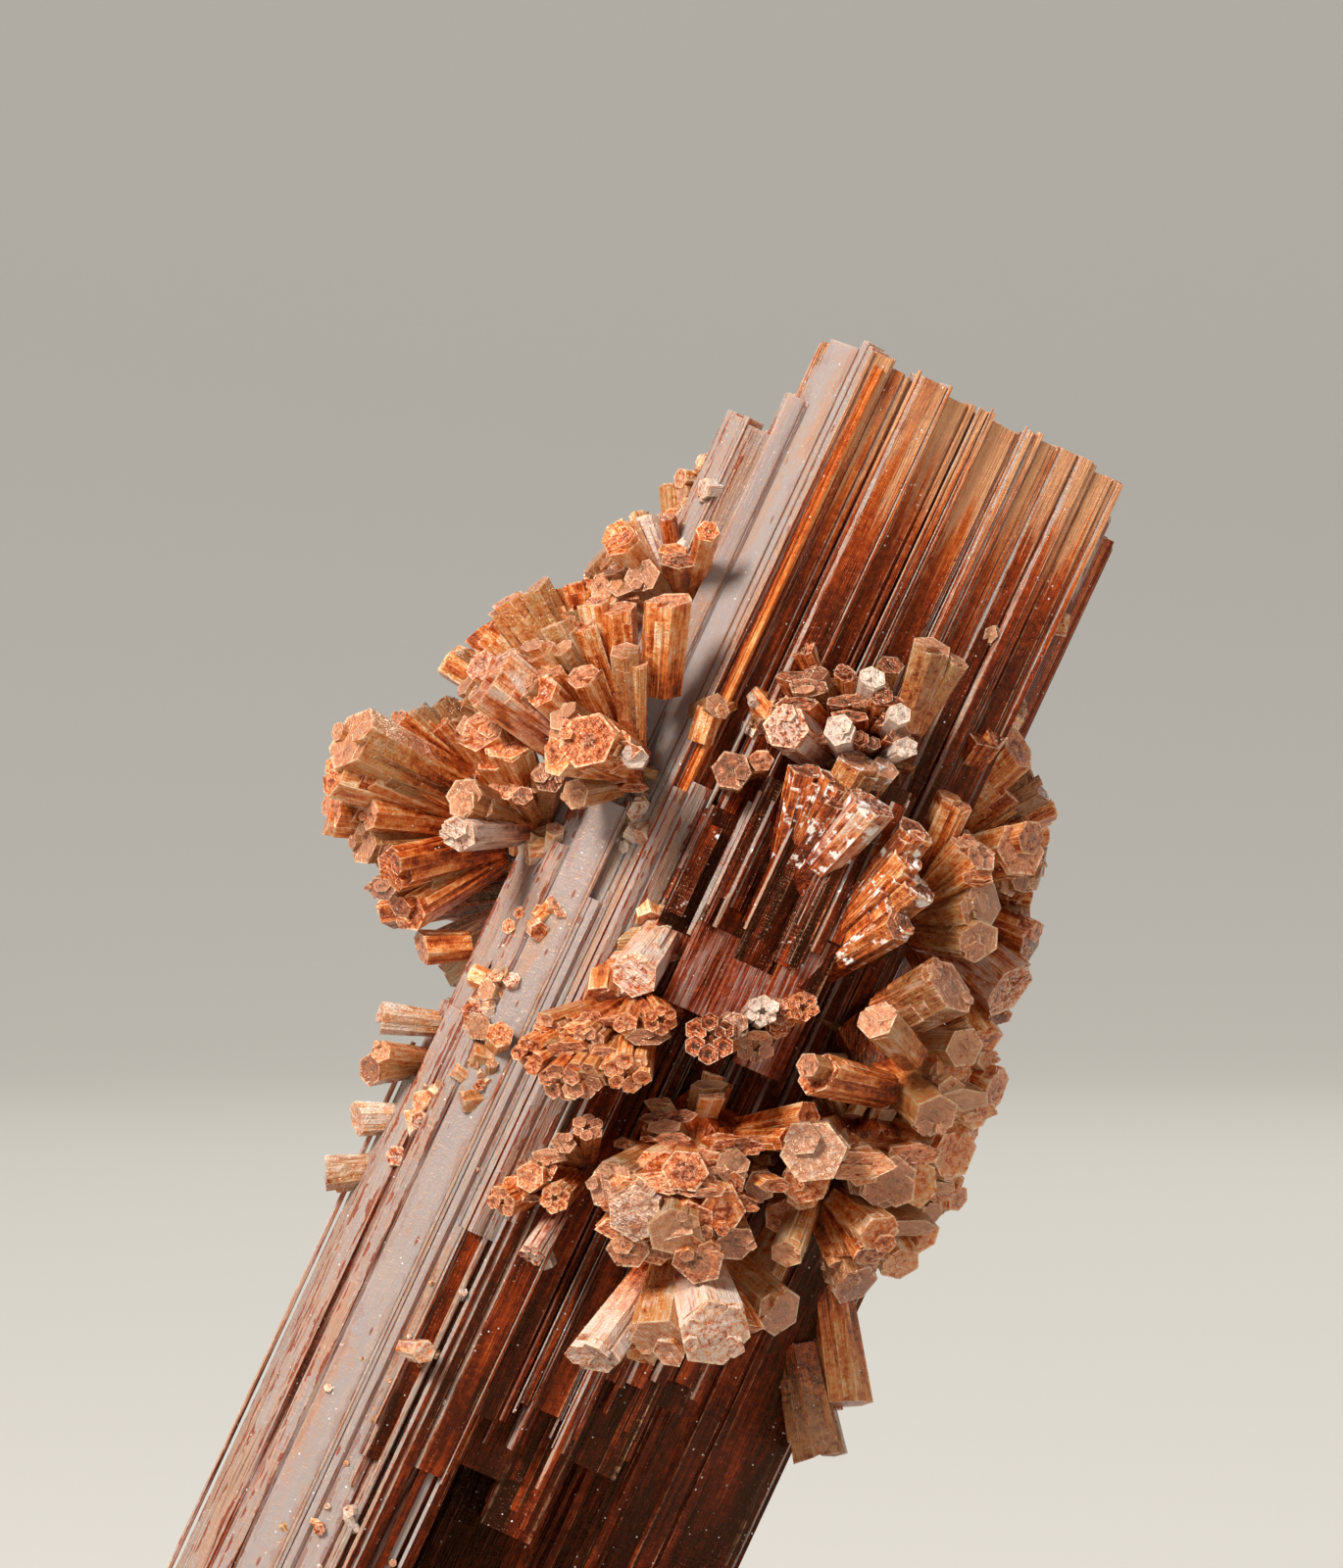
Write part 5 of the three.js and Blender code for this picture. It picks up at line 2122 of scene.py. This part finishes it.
FAR_FANS = (
    FarFan((1.4, 2.4, 31.2), (-0.5, 0.8, 0.35), 5.6, 6, 11),
    FarFan((6.2, 2.6, 26.4), (0.62, 0.75, 0.2), 5.4, 7, 23),
    FarFan((-3.4, 1.8, 25.8), (-0.55, 0.83, -0.05), 5.6, 6, 37),
    FarFan((2.6, 3.6, 20.6), (0.1, 0.99, 0.1), 5.8, 6, 41),
    FarFan((-2.6, 4.0, 13.2), (0.1, 0.97, -0.22), 4.6, 5, 59),
)


def dress(piece: bpy.types.Object, material: bpy.types.Material) -> None:
    """Gives a piece its finish and ties it to the frame.

    Args:
        piece: a finished piece, in metres.
        material: its finish.
    """
    piece.data.materials.clear()
    piece.data.materials.append(material)
    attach(piece, "root")
    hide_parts(NODE)


@dataclass
class Sprays:
    """All sprays of small crystals, a piece for each region."""

    finish: bpy.types.Material

    def build(self) -> list[bpy.types.Object]:
        """Builds and dresses the sprays.

        Returns:
            A piece for each region, the far sprays and the crust.
        """
        pieces = []
        for name, sprays in SPRAY_PIECES.items():
            pieces.append(self._piece(name, [spray.build_into for spray in sprays]))
        pieces.append(self._piece("far_sprays", [fan.build_into for fan in FAR_FANS]))
        pieces.append(self._piece("crust", [patch.build_into for patch in CRUST]))
        return pieces

    def _piece(self, name: str, builders: Sequence[Callable[[Growth], None]]) -> bpy.types.Object:
        """One piece from the sprays that belong to it.

        Args:
            name: name of the piece.
            builders: what adds each spray's prisms.

        Returns:
            The dressed piece.
        """
        growth = Growth(name)
        for build_into in builders:
            build_into(growth)
        piece = growth.join()
        dress(piece, self.finish)
        log.info("%s: %d faces", name, len(piece.data.polygons))
        return piece


@dataclass
class Studio:
    """A pale seamless bowl, soft lights and the camera."""

    floor_radius: float = 0.55
    wall_radius: float = 0.95
    wall_height: float = 1.3
    distance: float = 0.25
    view_height: float = 0.0288
    frame_height: float = 0.048

    def build(self) -> None:
        """Builds the floor, lights and camera."""
        self._bowl()
        self._lights()
        self._camera()

    def _bowl(self) -> None:
        """The floor, rising smoothly into a wall all round."""
        shape = bmesh.new()
        curve = self.wall_radius - self.floor_radius
        profile = [Vector((0.0, 0.0, 0.0)), Vector((self.floor_radius, 0.0, 0.0))]
        steps = 16
        for step in range(1, steps + 1):
            angle = step / steps * math.pi / 2
            out = self.floor_radius + curve * math.sin(angle)
            profile.append(Vector((out, 0.0, curve * (1.0 - math.cos(angle)))))
        profile.append(Vector((self.wall_radius, 0.0, self.wall_height)))
        points = [shape.verts.new(place) for place in profile]
        lines = [shape.edges.new(pair) for pair in zip(points, points[1:])]
        bmesh.ops.spin(
            shape,
            geom=[*points, *lines],
            cent=(0.0, 0.0, 0.0),
            axis=(0.0, 0.0, 1.0),
            angle=math.tau,
            steps=96,
            use_merge=True,
        )
        bmesh.ops.remove_doubles(shape, verts=shape.verts, dist=1e-6)
        for face in shape.faces:
            face.smooth = True
            face.normal_update()
            if face.normal.z < 0.0:
                face.normal_flip()
        mesh = bpy.data.meshes.new("studio_floor")
        shape.to_mesh(mesh)
        shape.free()
        floor = bpy.data.objects.new("studio_floor", mesh)
        mesh.materials.append(StudioFinish("pale_floor", colour(0.65, 0.64, 0.62)).material())
        bpy.context.scene.collection.objects.link(floor)

    def _lights(self) -> None:
        """A soft key from the upper left, weaker lights round the specimen and a pale surround."""
        warm = colour(1.0, 0.99, 0.97)
        warmer = colour(1.0, 0.985, 0.96)
        cool = colour(0.97, 0.98, 1.0)
        on_wall = (0.0, 1.0, 0.35)
        self._softbox("key_light", (-0.24, -0.30, 0.34), size=0.17, power=4.6, tint=warmer)
        self._softbox("fill_light", (0.45, -0.35, 0.20), size=0.3, power=0.8, tint=cool)
        self._softbox("back_light", (0.12, 0.42, 0.42), size=0.2, power=1.5, tint=warm)
        self._softbox("wall_light", (0.0, 0.35, 0.85), size=0.3, power=3.0, tint=warm, target=on_wall)
        world = bpy.data.worlds.new("surround")
        world.use_nodes = True
        backdrop = world.node_tree.nodes["Background"]
        backdrop.inputs["Color"].default_value = colour(0.90, 0.91, 0.93)
        backdrop.inputs["Strength"].default_value = 0.1
        bpy.context.scene.world = world
        bpy.context.scene.view_settings.view_transform = "Standard"

    def _softbox(
        self,
        name: str,
        place: Place,
        size: float,
        power: float,
        tint: Colour,
        target: Place = (0.0, 0.0, 0.024),
    ) -> None:
        """One square area light.

        Args:
            name: its name.
            place: where it stands, in metres.
            size: length of its side.
            power: in watts.
            tint: its colour.
            target: what it faces, which is the specimen unless another place is given.
        """
        lamp = bpy.data.lights.new(name, "AREA")
        lamp.shape = "SQUARE"
        lamp.size = size
        lamp.energy = power
        lamp.color = tint[:3]
        holder = bpy.data.objects.new(name, lamp)
        aim = Vector(target) - Vector(place)
        holder.matrix_world = Matrix.Translation(place) @ aim.to_track_quat("-Z", "Y").to_matrix().to_4x4()
        bpy.context.scene.collection.objects.link(holder)

    def _camera(self) -> None:
        """The camera, level, looking along +Y as in the photograph."""
        sensor = 36.0
        eye = bpy.data.cameras.new("camera")
        eye.sensor_fit = "AUTO"
        eye.sensor_width = sensor
        eye.lens = sensor * self.distance / self.frame_height
        eye.clip_start = 0.01
        eye.clip_end = 10.0
        holder = bpy.data.objects.new("camera", eye)
        place = Vector((-CENTRE_X * MILLIMETRE, -CENTRE_Y * MILLIMETRE - self.distance, self.view_height))
        holder.matrix_world = Matrix.Translation(place) @ Matrix.Rotation(math.pi / 2, 4, "X")
        bpy.context.scene.collection.objects.link(holder)
        bpy.context.scene.camera = holder


def main() -> None:
    """Builds the pieces in order, then the studio."""
    logging.basicConfig(level=logging.INFO, format="%(name)s: %(message)s")
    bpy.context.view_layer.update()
    for piece in Column(ColumnFinish("column_finish").material()).build():
        log.info("%s: %d faces", piece.name, len(piece.data.polygons))
    Sprays(CrystalFinish("crystal_finish").material()).build()
    Studio().build()


if __name__ == "__main__":
    main()
